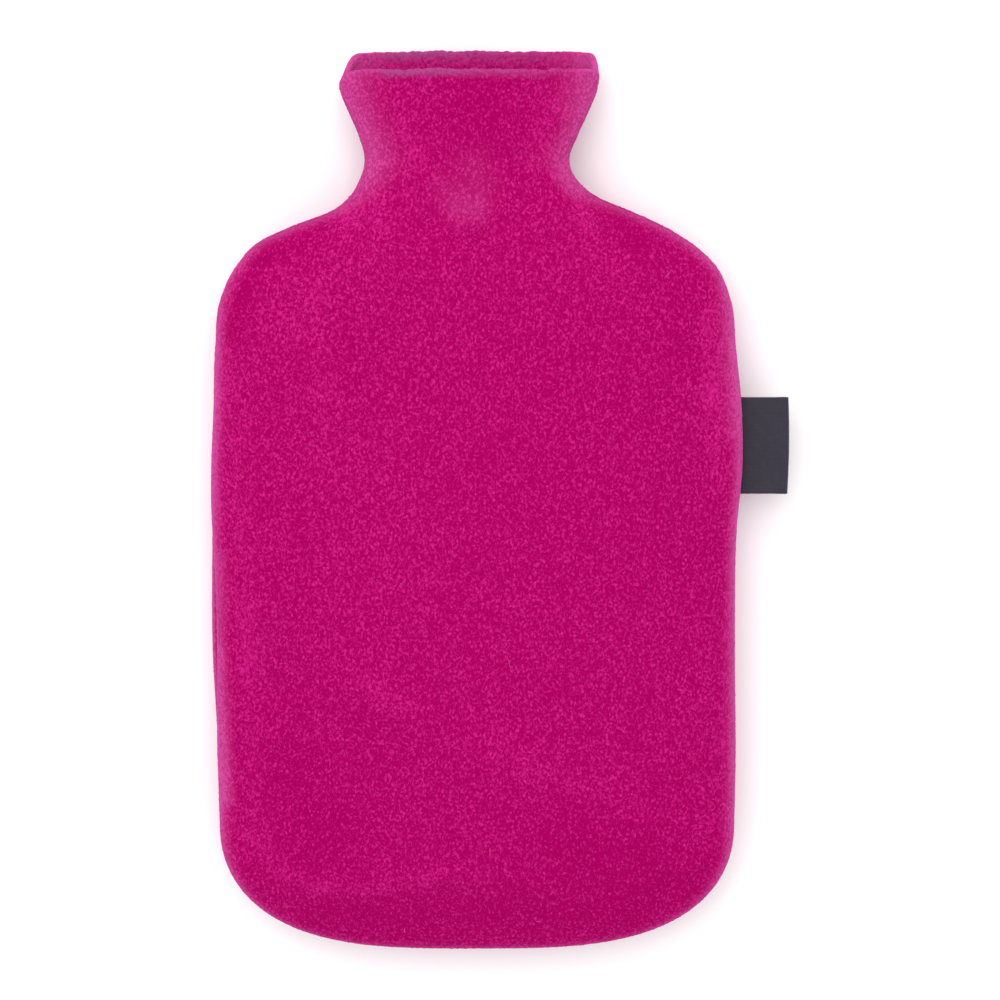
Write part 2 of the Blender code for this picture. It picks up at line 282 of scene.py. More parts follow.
def through_rows(rows, column, y):
    """The smooth curve through one column of a table, as cubic pieces whose slopes come from the rows'
    neighbours."""
    table = np.array(sorted(rows)) * MM
    at, value = table[:, 0], table[:, column]
    slope = np.gradient(value, at)
    y = np.clip(y, at[0], at[-1])
    k = np.clip(np.searchsorted(at, y) - 1, 0, len(at) - 2)
    span = at[k + 1] - at[k]
    t = (y - at[k]) / span
    return (
        (1 + 2 * t) * (1 - t) ** 2 * value[k]
        + t * (1 - t) ** 2 * span * slope[k]
        + t * t * (3 - 2 * t) * value[k + 1]
        + t * t * (t - 1) * span * slope[k + 1]
    )


def half_width(side, y):
    """How far the edge lies from the middle at this height, at the left for a side below 0 and else at the
    right."""
    return np.where(side < 0, through_rows(OUTLINE_ROWS, 1, y), through_rows(OUTLINE_ROWS, 2, y))


def share_out(x, y):
    """0 along the middle of the cover, 1 at its outline: across it above the closed end, and both ways in
    the end."""
    across = np.abs(x) / half_width(x, y)
    along = np.clip((END_START - y) / END_DEPTH, 0, None)
    both = across**END_SQUARE_ACROSS + along**END_SQUARE_ALONG
    return np.clip(both ** (1 / END_SQUARE_ACROSS), 0, 1)


def from_outline(x, y):
    """How far inwards of the outline each place lies: its share left to the outline times the width there."""
    return (1 - share_out(x, y)) * half_width(x, y)


def folds(x, y, rows):
    """The sum of the soft folds: each falls off as a bell with the distance from its run."""
    total = np.zeros_like(x)
    for x0, y0, x1, y1, half, height in np.array(rows) * MM:
        run = np.array((x1 - x0, y1 - y0))
        t = np.clip(((x - x0) * run[0] + (y - y0) * run[1]) / (run @ run), 0, 1)
        away = np.hypot(x - x0 - t * run[0], y - y0 - t * run[1])
        total += height * np.exp(-((away / half) ** 2))
    return total


def label_spread(x, y):
    """How far the ribbon in the seam pushes each panel's edge away, at the right-hand side only."""
    past = np.clip((np.abs(y - LABEL_MIDDLE) - LABEL_LENGTH / 2 - LABEL_MARGIN) / LABEL_EASE, 0, 1)
    return np.where(x > 0, (1 - eased(past)) * LABEL_SPREAD, 0)


def seam_lift(x, y):
    """Half the gap between the panels at the seam, which dies away inside the cover."""
    near = np.clip((share_out(x, y) - SEAM_LIFT_START) / (1 - SEAM_LIFT_START), 0, 1) ** 2
    return near * (SEAM_GAP / 2 + label_spread(x, y))


def front_face(x, y):
    """Height of the front panel's outer face: a superellipse across the cover, with its folds."""
    out = share_out(x, y)
    rise = through_rows(FULLNESS_ROWS, 1, y) - SEAM_TURN
    crown = (1 - out**FRONT_ROUND) ** (1 / FRONT_ROUND)
    fold = folds(x, y, FRONT_FOLDS) * np.clip((1 - out) / FOLD_FADE, 0, 1)
    return SEAM_HEIGHT + seam_lift(x, y) + SEAM_TURN + rise * crown + fold


def back_face(x, y):
    """Height of the back panel's outer face: round near the seam, and flat where the cover rests, never
    lower."""
    out = np.clip((share_out(x, y) - BACK_FLAT_SHARE) / (1 - BACK_FLAT_SHARE), 0, 1)
    drop = np.minimum(through_rows(FULLNESS_ROWS, 2, y), SEAM_HEIGHT) - SEAM_TURN
    crown = (1 - out**BACK_ROUND) ** (1 / BACK_ROUND)
    return SEAM_HEIGHT - seam_lift(x, y) - SEAM_TURN - drop * crown


@dataclass(frozen=True)
class Panel:
    """A cut panel: its piece's and its solid's names, its face, the way it looks, its lip's level and
    squareness, how far down its edge at the mouth is painted grey with sheen and shade, how far its seam has
    rolled, and its steps along and across."""

    name: str
    node: str
    face: Callable
    up: int
    lip: float
    square: float
    cut: float
    roll: float
    sides: int
    across: int


FRONT = Panel(
    "front_fleece", "front_panel", front_face, 1,
    FRONT_LIP, FRONT_LIP_SQUARE, FRONT_LIP_SHEEN, FRONT_ROLL, *FRONT_STEPS,
)
BACK = Panel("back_fleece", "back_panel", back_face, -1, BACK_LIP, BACK_LIP_SQUARE, BACK_LIP_SHEEN, 0, *BACK_STEPS)


def seam_line():
    """The seam in plan, from the left of the mouth round the closed end to the right of the mouth."""
    left_y = np.linspace(SEAM_TOP_LEFT, END_START, OUTLINE_SAMPLES)
    right_y = np.linspace(END_START, SEAM_TOP_RIGHT, OUTLINE_SAMPLES)
    angle = np.linspace(math.pi, 0, OUTLINE_SAMPLES)
    across, along = np.cos(angle), np.sin(angle)
    end_x = np.sign(across) * np.abs(across) ** (2 / END_SQUARE_ACROSS)
    end_x = end_x * half_width(across, np.full_like(across, END_START))
    end_y = END_START - END_DEPTH * np.abs(along) ** (2 / END_SQUARE_ALONG)
    left_x = -half_width(np.full_like(left_y, -1), left_y)
    right_x = half_width(np.full_like(right_y, 1), right_y)
    x = np.concatenate([left_x, end_x[1:-1], right_x])
    y = np.concatenate([left_y, end_y[1:-1], right_y])
    return np.stack([x, y], axis=1)


def mouth_line(x):
    """Height of the straight line between the two ends of the side seams, at this place across the mouth."""
    left_x = -half_width(np.array(-1.0), np.array(SEAM_TOP_LEFT))
    right_x = half_width(np.array(1.0), np.array(SEAM_TOP_RIGHT))
    return SEAM_TOP_LEFT + (SEAM_TOP_RIGHT - SEAM_TOP_LEFT) * (x - left_x) / (right_x - left_x)


def seam_stations(sides, across):
    """Points along the seam and the way outwards at each, closer together where the seam bends.

    The two bottom corners, where the seam runs at 45 degrees, fall on the points that end the sides. Near the
    mouth the way outwards turns to run along the mouth, so that the rows of points end level with it.
    """
    line = seam_line()
    step = np.diff(line, axis=0)
    run = np.hypot(step[:, 0], step[:, 1])
    heading = np.unwrap(np.arctan2(step[:, 1], step[:, 0]))
    turn = np.abs(np.diff(heading, prepend=heading[0]))
    measure = np.concatenate([[0], np.cumsum(run + BEND_WEIGHT * turn)])
    tangent = np.gradient(line, measure, axis=0)
    tangent /= np.linalg.norm(tangent, axis=1, keepdims=True)
    number = np.arange(len(line))
    bottom = np.argmin(line[:, 1])
    steep = (line[:, 1] < END_START) & (np.abs(tangent[:, 1]) > math.sin(CORNER_SLOPE))
    left_corner = np.flatnonzero(steep & (number < bottom))[-1]
    right_corner = np.flatnonzero(steep & (number > bottom))[0]
    marks = measure[[0, left_corner, right_corner, -1]]
    at = [np.linspace(a, b, n, endpoint=False) for a, b, n in zip(marks, marks[1:], (sides, across, sides))]
    at = np.append(np.concatenate(at), marks[-1])
    points = np.stack([np.interp(at, measure, line[:, i]) for i in (0, 1)], axis=1)
    along = np.stack([np.interp(at, measure, tangent[:, i]) for i in (0, 1)], axis=1)
    along /= np.linalg.norm(along, axis=1, keepdims=True)
    outwards = np.stack([along[:, 1], -along[:, 0]], axis=1)
    level = np.sign(points[:, :1]) * (points[-1] - points[0]) / np.linalg.norm(points[-1] - points[0])
    near_mouth = np.clip(1 - (mouth_line(points[:, 0]) - points[:, 1]) / LEVEL_REACH, 0, 1)[:, None]
    outwards = outwards + (level - outwards) * eased(near_mouth)
    return points, outwards / np.linalg.norm(outwards, axis=1, keepdims=True)


def flank_insets(face):
    """Insets from the seam up the flank at equal steps of cloth, measured on the section through the
    origin."""
    inset = FLANK * np.linspace(0, 1, SECTION_SAMPLES) ** 2
    edge = half_width(np.array(1.0), np.array(0.0))
    height = face(edge - inset, np.zeros_like(inset))
    length = np.concatenate([[0], np.cumsum(np.hypot(np.diff(inset), np.diff(height)))])
    return np.interp(np.linspace(0, length[-1], FLANK_STEPS + 1)[1:], length, inset)


def rim_rows(panel):
    """The panel's edge, row by row: the turned-in allowance, the turn, and the flank up to where the middle
    starts.

    Each row is the seam moved inwards by its inset. The allowance and the turn, a quarter of a circle, take
    their heights from the seam, and the flank takes them from the face. Where the seam has rolled, the rows
    start further in, by less and less up the flank, and near the seam they keep the heights that they had.
    """
    points, outwards = seam_stations(panel.sides, panel.across)
    along_roll = np.clip(1 - ((points[:, 1] - ROLL_MIDDLE) / ROLL_HALF_LENGTH) ** 2, 0, 1)
    rolled = np.where(points[:, 0] < 0, panel.roll * along_roll**2, 0)[:, None]
    turned = [(SEAM_TURN + SEAM_ALLOWANCE * (1 - i / ALLOWANCE_STEPS), 0.0) for i in range(ALLOWANCE_STEPS)]
    angles = np.linspace(0, math.pi / 2, TURN_STEPS + 1)
    turned += [(SEAM_TURN * (1 - math.sin(a)), SEAM_TURN * (1 - math.cos(a))) for a in angles]
    lift = SEAM_GAP / 2 + label_spread(points[:, 0], points[:, 1])
    rows = []
    for inset, height in turned:
        plan = points - (inset + rolled) * outwards
        rows.append(np.column_stack([plan, SEAM_HEIGHT + panel.up * (lift + height)]))
    for inset in flank_insets(panel.face):
        before = points - inset * outwards
        plan = before - rolled * (1 - inset / FLANK) * outwards
        kept = 1 - eased(min(inset / ROLL_BLEND, 1))
        height = panel.face(plan[:, 0], plan[:, 1])
        height = height + kept * (panel.face(before[:, 0], before[:, 1]) - height)
        rows.append(np.column_stack([plan, height]))
    return np.array(rows)


def middle_grid(panel, edge):
    """The panel's middle: a grid blended from its four sides (a Coons patch), with its heights from the
    face."""
    left = edge[: panel.sides + 1]
    bottom = edge[panel.sides : panel.sides + panel.across + 1]
    right = edge[panel.sides + panel.across :][::-1]
    u = np.linspace(0, 1, panel.across + 1)[None, :, None]
    v = np.linspace(0, 1, panel.sides + 1)[:, None, None]
    top = left[0] + (right[0] - left[0]) * u[0]
    sides = (1 - u) * left[:, None] + u * right[:, None]
    ends = (1 - v) * top[None] + v * bottom[None]
    corners = (1 - v) * ((1 - u) * left[0] + u * right[0]) + v * ((1 - u) * left[-1] + u * right[-1])
    grid = sides + ends - corners
    grid[:, :, 2] = panel.face(grid[:, :, 0], grid[:, :, 1])
    return grid


def lip_shift(panel, points):
    """How far the mouth's edge rises from the line between the seams' ends to its level, lowered for the
    edge's raggedness and with a soft wave: less near the seams by a high power of the share out, and fading
    down the neck with the square of what is left of its reach."""
    out = np.clip(np.abs(points[:, 0]) / half_width(points[:, 0], points[:, 1]), 0, 1)
    line = mouth_line(points[:, 0])
    fade = np.clip(1 - (line - points[:, 1]) / LIP_REACH, 0, 1)
    along = np.column_stack([points[:, 0], np.full((len(points), 2), panel.lip)])
    wave = LIP_WAVE * (soft_noise(along, LIP_WAVE_LENGTH, LIP_SEED) - 0.5)
    return (panel.lip - LIP_LOWER - LIP_ROUND - line + wave) * (1 - out**panel.square) * fade * fade


# ---- Repeatable noise, and the pile that it makes ----

HASH_ODDS = np.array([0x9E3779B97F4A7C15, 0xC2B2AE3D27D4EB4F, 0x165667B19E3779F9], dtype=np.uint64)
HASH_MIX = np.uint64(0xD6E8FEB86659FD93)
HASH_SHIFTS = (np.uint64(32), np.uint64(29))
HASH_BITS = 24
CORNERS = np.array([(i, j, k) for i in (0, 1) for j in (0, 1) for k in (0, 1)])
NEIGHBOURS = np.array([(i, j, k) for i in (-1, 0, 1) for j in (-1, 0, 1) for k in (-1, 0, 1)])


def hashed(cells, seed):
    """A repeatable random number from 0 to 1 for each lattice cell: its three whole numbers times three
    large odd ones, added, then folded onto itself twice with a shift and a product."""
    mix = (cells.astype(np.int64).astype(np.uint64) * HASH_ODDS).sum(axis=-1, dtype=np.uint64)
    mix = mix + HASH_ODDS[:1] * np.uint64(seed)
    for shift in HASH_SHIFTS:
        mix = (mix ^ (mix >> shift)) * HASH_MIX
    return (mix >> np.uint64(64 - HASH_BITS)).astype(float) / 2**HASH_BITS


def soft_noise(points, cell, seed):
    """Soft noise from 0 to 1: random numbers at a lattice's corners, blended across each cell by eased
    weights."""
    q = points / cell
    low = np.floor(q)
    t = eased(q - low)
    total = np.zeros(len(points))
    for corner in CORNERS:
        weight = np.prod(np.where(corner, t, 1 - t), axis=-1)
        total += weight * hashed(low + corner, seed)
    return total


def tufts(points, cell, seed):
    """Round tufts from 0 in the gaps to 1 on top: one random point in each lattice cell, and a height that
    falls with the square of the distance to the nearest one."""
    q = points / cell
    low = np.floor(q)
    nearest = np.full(len(points), TUFT_FAR)
    for neighbour in NEIGHBOURS:
        place = low + neighbour
        spot = place + np.stack([hashed(place, seed + axis) for axis in range(3)], axis=-1)
        nearest = np.minimum(nearest, ((spot - q) ** 2).sum(axis=-1))
    return np.clip(1 - nearest / TUFT_REACH**2, 0, 1)


TUFT_FAR = 9.0
TUFT_REACH = 0.95
LUMP_CELL = np.array((5.5, 7.0, 5.5)) * MM
WARP_CELL = np.array((3.5, 4.5, 3.5)) * MM
WARP = 1.1 * MM
TUFT_SHARE, LUMP_SHARE = 0.94, 0.06
WARP_SEED, LUMP_SEED = 10, 20
PRESSED_HEIGHT = 1.2 * MM
FLOOR_CLEARANCE = 0.05 * MM


def pile_relief(points, tuft_width, tuft_length, seed):
    """Height of the fleece's pile from 0 to 1: long tufts, bent by a soft warp, on lumps twice their size."""
    ways = [soft_noise(points, WARP_CELL, seed + WARP_SEED + axis) for axis in range(3)]
    warp = np.stack(ways, axis=-1) - 0.5
    cell = np.array((tuft_width, tuft_length, tuft_width))
    fine = tufts(points + WARP * warp, cell, seed)
    lumps = soft_noise(points, LUMP_CELL, seed + LUMP_SEED)
    return TUFT_SHARE * fine + LUMP_SHARE * lumps


def runs_and_rim(points, runs, column, reach):
    """The front's runs, which the back has none of, and half a bell inwards from the outline, by a column
    of the rim's table."""
    x, y = points[:, 0], points[:, 1]
    total = np.where(points[:, 2] > SEAM_HEIGHT, folds(x, y, runs) / MM, 0)
    return total + through_rows(RIM_SHEEN_ROWS, column, y) / MM * np.exp(-((from_outline(x, y) / reach) ** 2))


def groove(points):
    """How deep in the seam's groove each point lies: 1 at the seam's height, 0 at its reach and beyond."""
    deep = np.clip(1 - np.abs(points[:, 2] - SEAM_HEIGHT) / GROOVE_REACH, 0, 1)
    return deep * (points[:, 1] < SEAM_TOP_LEFT) * (share_out(points[:, 0], points[:, 1]) > GROOVE_START)


def pale_and_sheen(points):
    """How pale the pile is painted, from 0 to 1: the front's pale runs, and painted sheen along the rim. Down
    in the seam's groove it is neither."""
    total = runs_and_rim(points, PALE_AND_SHEEN_RUNS, 1, through_rows(RIM_SHEEN_ROWS, 2, points[:, 1]))
    return np.clip(total, 0, 1) * (1 - groove(points))


def painted_shading(points):
    """How much paler or darker the pile is painted: painted light and shade along the front's runs, painted
    sheen at the rim, and painted shade in the groove."""
    return runs_and_rim(points, PAINTED_SHADING_RUNS, 3, RIM_SHEEN_REACH) - GROOVE_SHADE * groove(points)


# The seam's groove: how far it reaches, where it starts, and how much darker its pile is painted, as painted
# shade.
GROOVE_REACH = 1.2 * MM
GROOVE_START = 0.9
GROOVE_SHADE = 0.5


# ---- Mesh helpers ----


def grid_faces(index):
    """Four-sided faces over a grid of point numbers."""
    around = (index[:-1, :-1], index[1:, :-1], index[1:, 1:], index[:-1, 1:])
    return np.stack([corner.ravel() for corner in around], axis=1)


def strip_faces(fine, coarse):
    """Six-sided faces between a row of points and another that has a third of its steps."""
    around = [fine[:-1:THIN], fine[1::THIN], fine[2::THIN], fine[3::THIN], coarse[1:], coarse[:-1]]
    return np.column_stack(around)


def point_normals(points, faces):
    """The way out at each point: the sum of its four-sided faces' normals, each half the product of its
    diagonals."""
    across = np.cross(points[faces[:, 2]] - points[faces[:, 0]], points[faces[:, 3]] - points[faces[:, 1]])
    normals = np.zeros_like(points)
    for corner in range(faces.shape[1]):
        np.add.at(normals, faces[:, corner], across)
    return normals / np.linalg.norm(normals, axis=1, keepdims=True)


def new_piece(name, points, face_groups, material, attributes):
    """A mesh object at the origin, closed or flat, from points, groups of faces with alike corner counts,
    and numbers on its points."""
    mesh = bpy.data.meshes.new(name)
    mesh.vertices.add(len(points))
    mesh.vertices.foreach_set("co", np.asarray(points, dtype=np.float32).ravel())
    corners = np.concatenate([np.asarray(group).ravel() for group in face_groups])
    counts = np.concatenate([np.full(len(group), np.shape(group)[1]) for group in face_groups])
    mesh.loops.add(len(corners))
    mesh.loops.foreach_set("vertex_index", corners.astype(np.int32))
    mesh.polygons.add(len(counts))
    mesh.polygons.foreach_set("loop_start", np.concatenate([[0], np.cumsum(counts)[:-1]]).astype(np.int32))
    mesh.update(calc_edges=True)
    for attribute, values in attributes.items():
        layer = mesh.attributes.new(attribute, "FLOAT", "POINT")
        layer.data.foreach_set("value", np.asarray(values, dtype=np.float32).ravel())
    mesh.materials.append(material)
    mesh.shade_smooth()
    piece = bpy.data.objects.new(name, mesh)
    bpy.context.scene.collection.objects.link(piece)
    return piece


def turn_outwards(piece):
    """Points every face of a closed mesh outwards."""
    shape = bmesh.new()
    shape.from_mesh(piece.data)
    bmesh.ops.recalc_face_normals(shape, faces=shape.faces)
    shape.to_mesh(piece.data)
    shape.free()


def soften(piece, ways):
    """Sets the way that each point of a mesh looks for shading, so that pile melts into the cloth under
    it."""
    ways = ways / np.linalg.norm(ways, axis=1, keepdims=True)
    piece.data.normals_split_custom_set_from_vertices(ways.tolist())


# ---- The fleece panels ----


@dataclass
class Fleece:
    """A panel laid out: its smooth points, their normals, the same points with pile, the faces of its outer
    side, its rim and middle as grids of point numbers, and the pile's height at each point."""

    smooth: np.ndarray
    normals: np.ndarray
    points: np.ndarray
    faces: np.ndarray
    rim: np.ndarray
    middle: np.ndarray
    relief: np.ndarray


def outer_side(panel):
    """Points of a panel's smooth outer side, with its rim and middle as grids of point numbers that share a
    row."""
    rim = rim_rows(panel)
    rows, columns = rim.shape[:2]
    middle = middle_grid(panel, rim[-1])
    rim_index = np.arange(rows * columns).reshape(rows, columns)
    middle_index = np.full(middle.shape[:2], -1)
    middle_index[:, 0] = rim_index[-1, : panel.sides + 1]
    middle_index[-1, :] = rim_index[-1, panel.sides : panel.sides + panel.across + 1]
    middle_index[:, -1] = rim_index[-1, panel.sides + panel.across :][::-1]
    new = middle_index < 0
    middle_index[new] = rows * columns + np.arange(new.sum())
    points = np.concatenate([rim.reshape(-1, 3), middle[new]])
    turned = (ALLOWANCE_STEPS + TURN_STEPS + 1) * columns
    lifted = points[turned:]
    before = half_width(lifted[:, 0], lifted[:, 1])
    lifted[:, 1] += lip_shift(panel, lifted)
    lifted[:, 0] *= half_width(lifted[:, 0], lifted[:, 1]) / before
    return points, rim_index, middle_index


def below_lip(panel, points):
    """How far each point lies below the mouth's edge."""
    at_edge = np.column_stack([points[:, 0], mouth_line(points[:, 0]), points[:, 2]])
    return at_edge[:, 1] + lip_shift(panel, at_edge) - points[:, 1]


def pile_share(panel, points, rim):
    """How much of its height the pile keeps: none on the allowance, more round the turn, less at the
    mouth's edge, and little where the cover's weight presses it on what it rests on."""
    rows, columns = rim.shape
    share = np.ones(len(points))
    by_row = np.clip((np.arange(rows) - ALLOWANCE_STEPS) / TURN_STEPS, 0, 1)
    share[: rows * columns] = np.repeat(eased(by_row), columns)
    share *= EDGE_PILE + (1 - EDGE_PILE) * np.clip(below_lip(panel, points) / EDGE_PILE_REACH, 0, 1)
    inwards = from_outline(points[:, 0], points[:, 1])
    share *= RIM_PILE + (1 - RIM_PILE) * np.clip(inwards / RIM_PILE_REACH, 0, 1)
    pressed = np.clip(points[:, 2] / PRESSED_HEIGHT, 0, 1)
    return share * (PRESSED_PILE + (1 - PRESSED_PILE) * pressed)


EDGE_PILE, EDGE_PILE_REACH = 0.45, 6.0 * MM
RIM_PILE, RIM_PILE_REACH = 0.35, 12.0 * MM
PRESSED_PILE = 0.3
MEAN_RELIEF = 0.42
PILE_DEPTH = 0.3 * MM


@functools.cache
def laid_out(panel, tuft_width, tuft_length, tuft_height, seed):
    """The panel's outer side with its pile: each point moved along its normal by the pile's height above
    its mean, and by the swelling of the cloth's cut edge at the mouth."""
    smooth, rim, middle = outer_side(panel)
    faces = np.concatenate([grid_faces(rim)[:, ::-1], grid_faces(middle)])
    faces = faces if panel.up > 0 else faces[:, ::-1]
    normals = point_normals(smooth, faces)
    relief = pile_relief(smooth, tuft_width, tuft_length, seed)
    share = pile_share(panel, smooth, rim) * (1 - PALE_AND_SHEEN_FLATTENS * pale_and_sheen(smooth))
    swell = LIP_SWELL * eased(np.clip(1 - below_lip(panel, smooth) / LIP_SWELL_REACH, 0, 1))
    sunk = PILE_DEPTH * np.minimum(1, np.maximum(smooth[:, 2], 0) / PRESSED_HEIGHT)
    height = tuft_height * share * (relief - MEAN_RELIEF) + swell - sunk
    points = smooth + height[:, None] * normals
    points[:, 2] = np.maximum(points[:, 2], FLOOR_CLEARANCE)
    return Fleece(smooth, normals, points, faces, rim, middle, relief)


PALE_AND_SHEEN_FLATTENS = 0.6


def mouth_edge(cloth):
    """The point numbers along the mouth's edge, from one seam's end to the other, and those one step below
    them."""
    edge = np.concatenate([cloth.rim[:, 0], cloth.middle[0, 1:-1], cloth.rim[::-1, -1]])
    below = np.concatenate([cloth.rim[:, 1], cloth.middle[1, 1:-1], cloth.rim[::-1, -2]])
    return edge, below


def lip_round(cloth, inside):
    """The rounded edge of the cloth at the mouth, row by row: half a circle from the outer point to the
    inner one, about the middle between them, bulging away from the points one step below. The bulge grows
    and shrinks with the pile's height above its mean, which makes the edge ragged, less and less towards
    the mouth's corners."""
    edge, below = mouth_edge(cloth)
    outer = cloth.points[edge]
    inner = inside[edge]
    middle, spoke = (outer + inner) / 2, (outer - inner) / 2
    away = cloth.smooth[edge] - cloth.smooth[below]
    normal = spoke / np.linalg.norm(spoke, axis=1, keepdims=True)
    away -= (away * normal).sum(axis=1, keepdims=True) * normal
    from_end = half_width(outer[:, 0], outer[:, 1]) - np.abs(outer[:, 0])
    ragged = LIP_RAGGED * (cloth.relief[edge] - MEAN_RELIEF) * np.clip(from_end / LIP_RAGGED_REACH, 0, 1)
    away *= LIP_ROUND * (1 + ragged[:, None]) / np.linalg.norm(away, axis=1, keepdims=True)
    angles = np.linspace(0, math.pi, LIP_STEPS + 1)[1:, None, None]
    return middle + np.cos(angles) * spoke + np.sin(angles) * away


def fleece_panel(panel, cloth, material):
    """A closed sheet of fleece: the outer side with its pile, the rounded edge at the mouth, and an inner
    side one thickness in, on every third point, joined to the outer one along the allowance by six-sided
    faces."""
    inside = cloth.smooth - CLOTH * cloth.normals
    edge, _ = mouth_edge(cloth)
    lip = lip_round(cloth, inside)
    count = len(cloth.points)
    lip_index = count + np.arange(lip.shape[0] * lip.shape[1]).reshape(lip.shape[:2])
    lip_index = np.vstack([edge, lip_index])
    inner_edge = lip_index[-1]

    rim = np.full(cloth.rim[::THIN, ::THIN].shape, -1)
    rim[:, 0] = inner_edge[: RIM_STEPS + 1 : THIN]
    rim[:, -1] = inner_edge[::-1][: RIM_STEPS + 1 : THIN]
    fresh = rim < 0
    start = count + lip.shape[0] * lip.shape[1]
    rim[fresh] = start + np.arange(fresh.sum())
    rim_points = inside[cloth.rim[::THIN, ::THIN][fresh]]

    middle = np.full(cloth.middle[::THIN, ::THIN].shape, -1)
    sides = panel.sides // THIN
    middle[:, 0] = rim[-1, : sides + 1]
    middle[-1, :] = rim[-1, sides : sides + middle.shape[1]]
    middle[:, -1] = rim[-1, sides + middle.shape[1] - 1 :][::-1]
    middle[0, :] = inner_edge[RIM_STEPS : RIM_STEPS + panel.across + 1 : THIN]
    fresh = middle < 0
    middle[fresh] = start + len(rim_points) + np.arange(fresh.sum())
    middle_points = inside[cloth.middle[::THIN, ::THIN][fresh]]

    points = np.concatenate([cloth.points, lip.reshape(-1, 3), rim_points, middle_points])
    points[:, 2] = np.maximum(points[:, 2], FLOOR_CLEARANCE)
    left, right = inner_edge[: RIM_STEPS + 1], inner_edge[::-1][: RIM_STEPS + 1]
    top = inner_edge[RIM_STEPS : RIM_STEPS + panel.across + 1]
    groups = [
        cloth.faces,
        grid_faces(lip_index),
        lip_index[:, 0][None],
        lip_index[:, -1][None],
        strip_faces(cloth.rim[0], rim[0]),
        strip_faces(left, rim[:, 1]),
        strip_faces(right, rim[:, -2]),
        strip_faces(top, middle[1]),
        grid_faces(rim[:, 1:-1]),
        grid_faces(middle[1:]),
    ]
    tone = np.full(len(points), INSIDE_TONE)
    tone[:count] = CLOTH_TONE * cloth.relief + painted_shading(cloth.smooth)
    looks = {"pile": tone, "pale_and_sheen": pale_and_sheen(points), "cut": lip_sheen_and_shade(panel, points)}
    piece = new_piece(panel.name, points, groups, material, looks)
    turn_outwards(piece)
    return piece


# Higher pile is painted a little lighter: partly its own tone, partly painted light on the tufts' tops.
CLOTH_TONE = 0.06
# The inside is painted lighter than the outside: painted light where the inside of the mouth lies in shade.
INSIDE_TONE = 0.5
LIP_SHEEN_SEED = 5
LIP_SHEEN_CELL = 4.0 * MM
LIP_SHEEN_UNEVEN = 1.1
LIP_SHEEN_X = np.array((-50.0, -38.0, -30.0, -12.0, 0.0, 20.0, 32.0, 38.0)) * MM
LIP_SHEEN_SHARE = np.array((0.05, 0.3, 0.95, 0.9, 0.7, 0.55, 0.3, 0.1))


def lip_sheen_and_shade(panel, points):
    """How grey the cloth is painted at the mouth's edge, as painted sheen and shade of the rounded edge: less
    and less below it, by an uneven reach, and more at the left than at the right."""
    reach = panel.cut * (1 + LIP_SHEEN_UNEVEN * (soft_noise(points, LIP_SHEEN_CELL, LIP_SHEEN_SEED) - 0.5))
    share = eased(np.clip(1 - below_lip(panel, points) / reach, 0, 1))
    return share * np.interp(points[:, 0], LIP_SHEEN_X, LIP_SHEEN_SHARE)


# ---- Curls and loose fibres ----

CURL_STATIONS = np.array((-1.0, -0.4, 0.4, 1.0))
CURL_SIDES = 3
CURL_SEED = 7
CURL_LIFT = 0.6


def tangents(normals, angles):
    """Two ways along the surface at each point: the way up the cloth turned by an angle about the normal,
    and the way square to it. The way up the cloth is +Y, leaning to the side that the cloth looks to."""
    up = np.zeros_like(normals)
    up[:, 1], up[:, 2] = 1, np.where(normals[:, 2] < 0, -CURL_LIFT, CURL_LIFT)
    up -= (normals * up).sum(axis=1, keepdims=True) * normals
    up /= np.linalg.norm(up, axis=1, keepdims=True)
    side = np.cross(up, normals)
    turn = angles[:, None]
    return np.cos(turn) * up + np.sin(turn) * side, np.cos(turn) * side - np.sin(turn) * up


def tubes(paths, radii, flat_ways, high_ways, sides):
    """Closed tubes, all alike in their counts, along many paths at once: a ring at each inner point of a
    path, and a single point at each end.

    paths is (tubes, points, 3), radii is (tubes, points - 2, 2), across and upwards, and the two ways are the
    directions that each ring is drawn in. A ring's first point lies on its high side.
    """
    count, stations = paths.shape[:2]
    angle = math.pi / 2 + 2 * math.pi * np.arange(sides) / sides
    flat = flat_ways[:, None, None] * np.cos(angle)[None, None, :, None] * radii[:, :, None, :1]
    high = high_ways[:, None, None] * np.sin(angle)[None, None, :, None] * radii[:, :, None, 1:]
    rings = paths[:, 1:-1, None] + flat + high
    each = sides * (stations - 2) + 2
    points = np.concatenate([rings.reshape(count, -1, 3), paths[:, :1], paths[:, -1:]], axis=1)
    ring = np.arange(sides * (stations - 2)).reshape(stations - 2, sides)
    wrapped = np.concatenate([ring, ring[:, :1]], axis=1)
    walls = grid_faces(wrapped)
    first = np.column_stack([np.full(sides, each - 2), wrapped[0, :-1], wrapped[0, 1:]])
    last = np.column_stack([np.full(sides, each - 1), wrapped[-1, 1:], wrapped[-1, :-1]])
    offset = (np.arange(count) * each)[:, None, None]
    groups = [(offset + part[None]).reshape(-1, part.shape[1]) for part in (walls, first, last)]
    return points.reshape(-1, 3), groups, each


def spread_out(points, cell, random):
    """Numbers of points that lie evenly spread: of all that share a lattice cell, one drawn at random."""
    order = random.permutation(len(points))
    cells = np.floor(points[order] / cell).astype(np.int64)
    _, first = np.unique(cells, axis=0, return_index=True)
    return order[first]


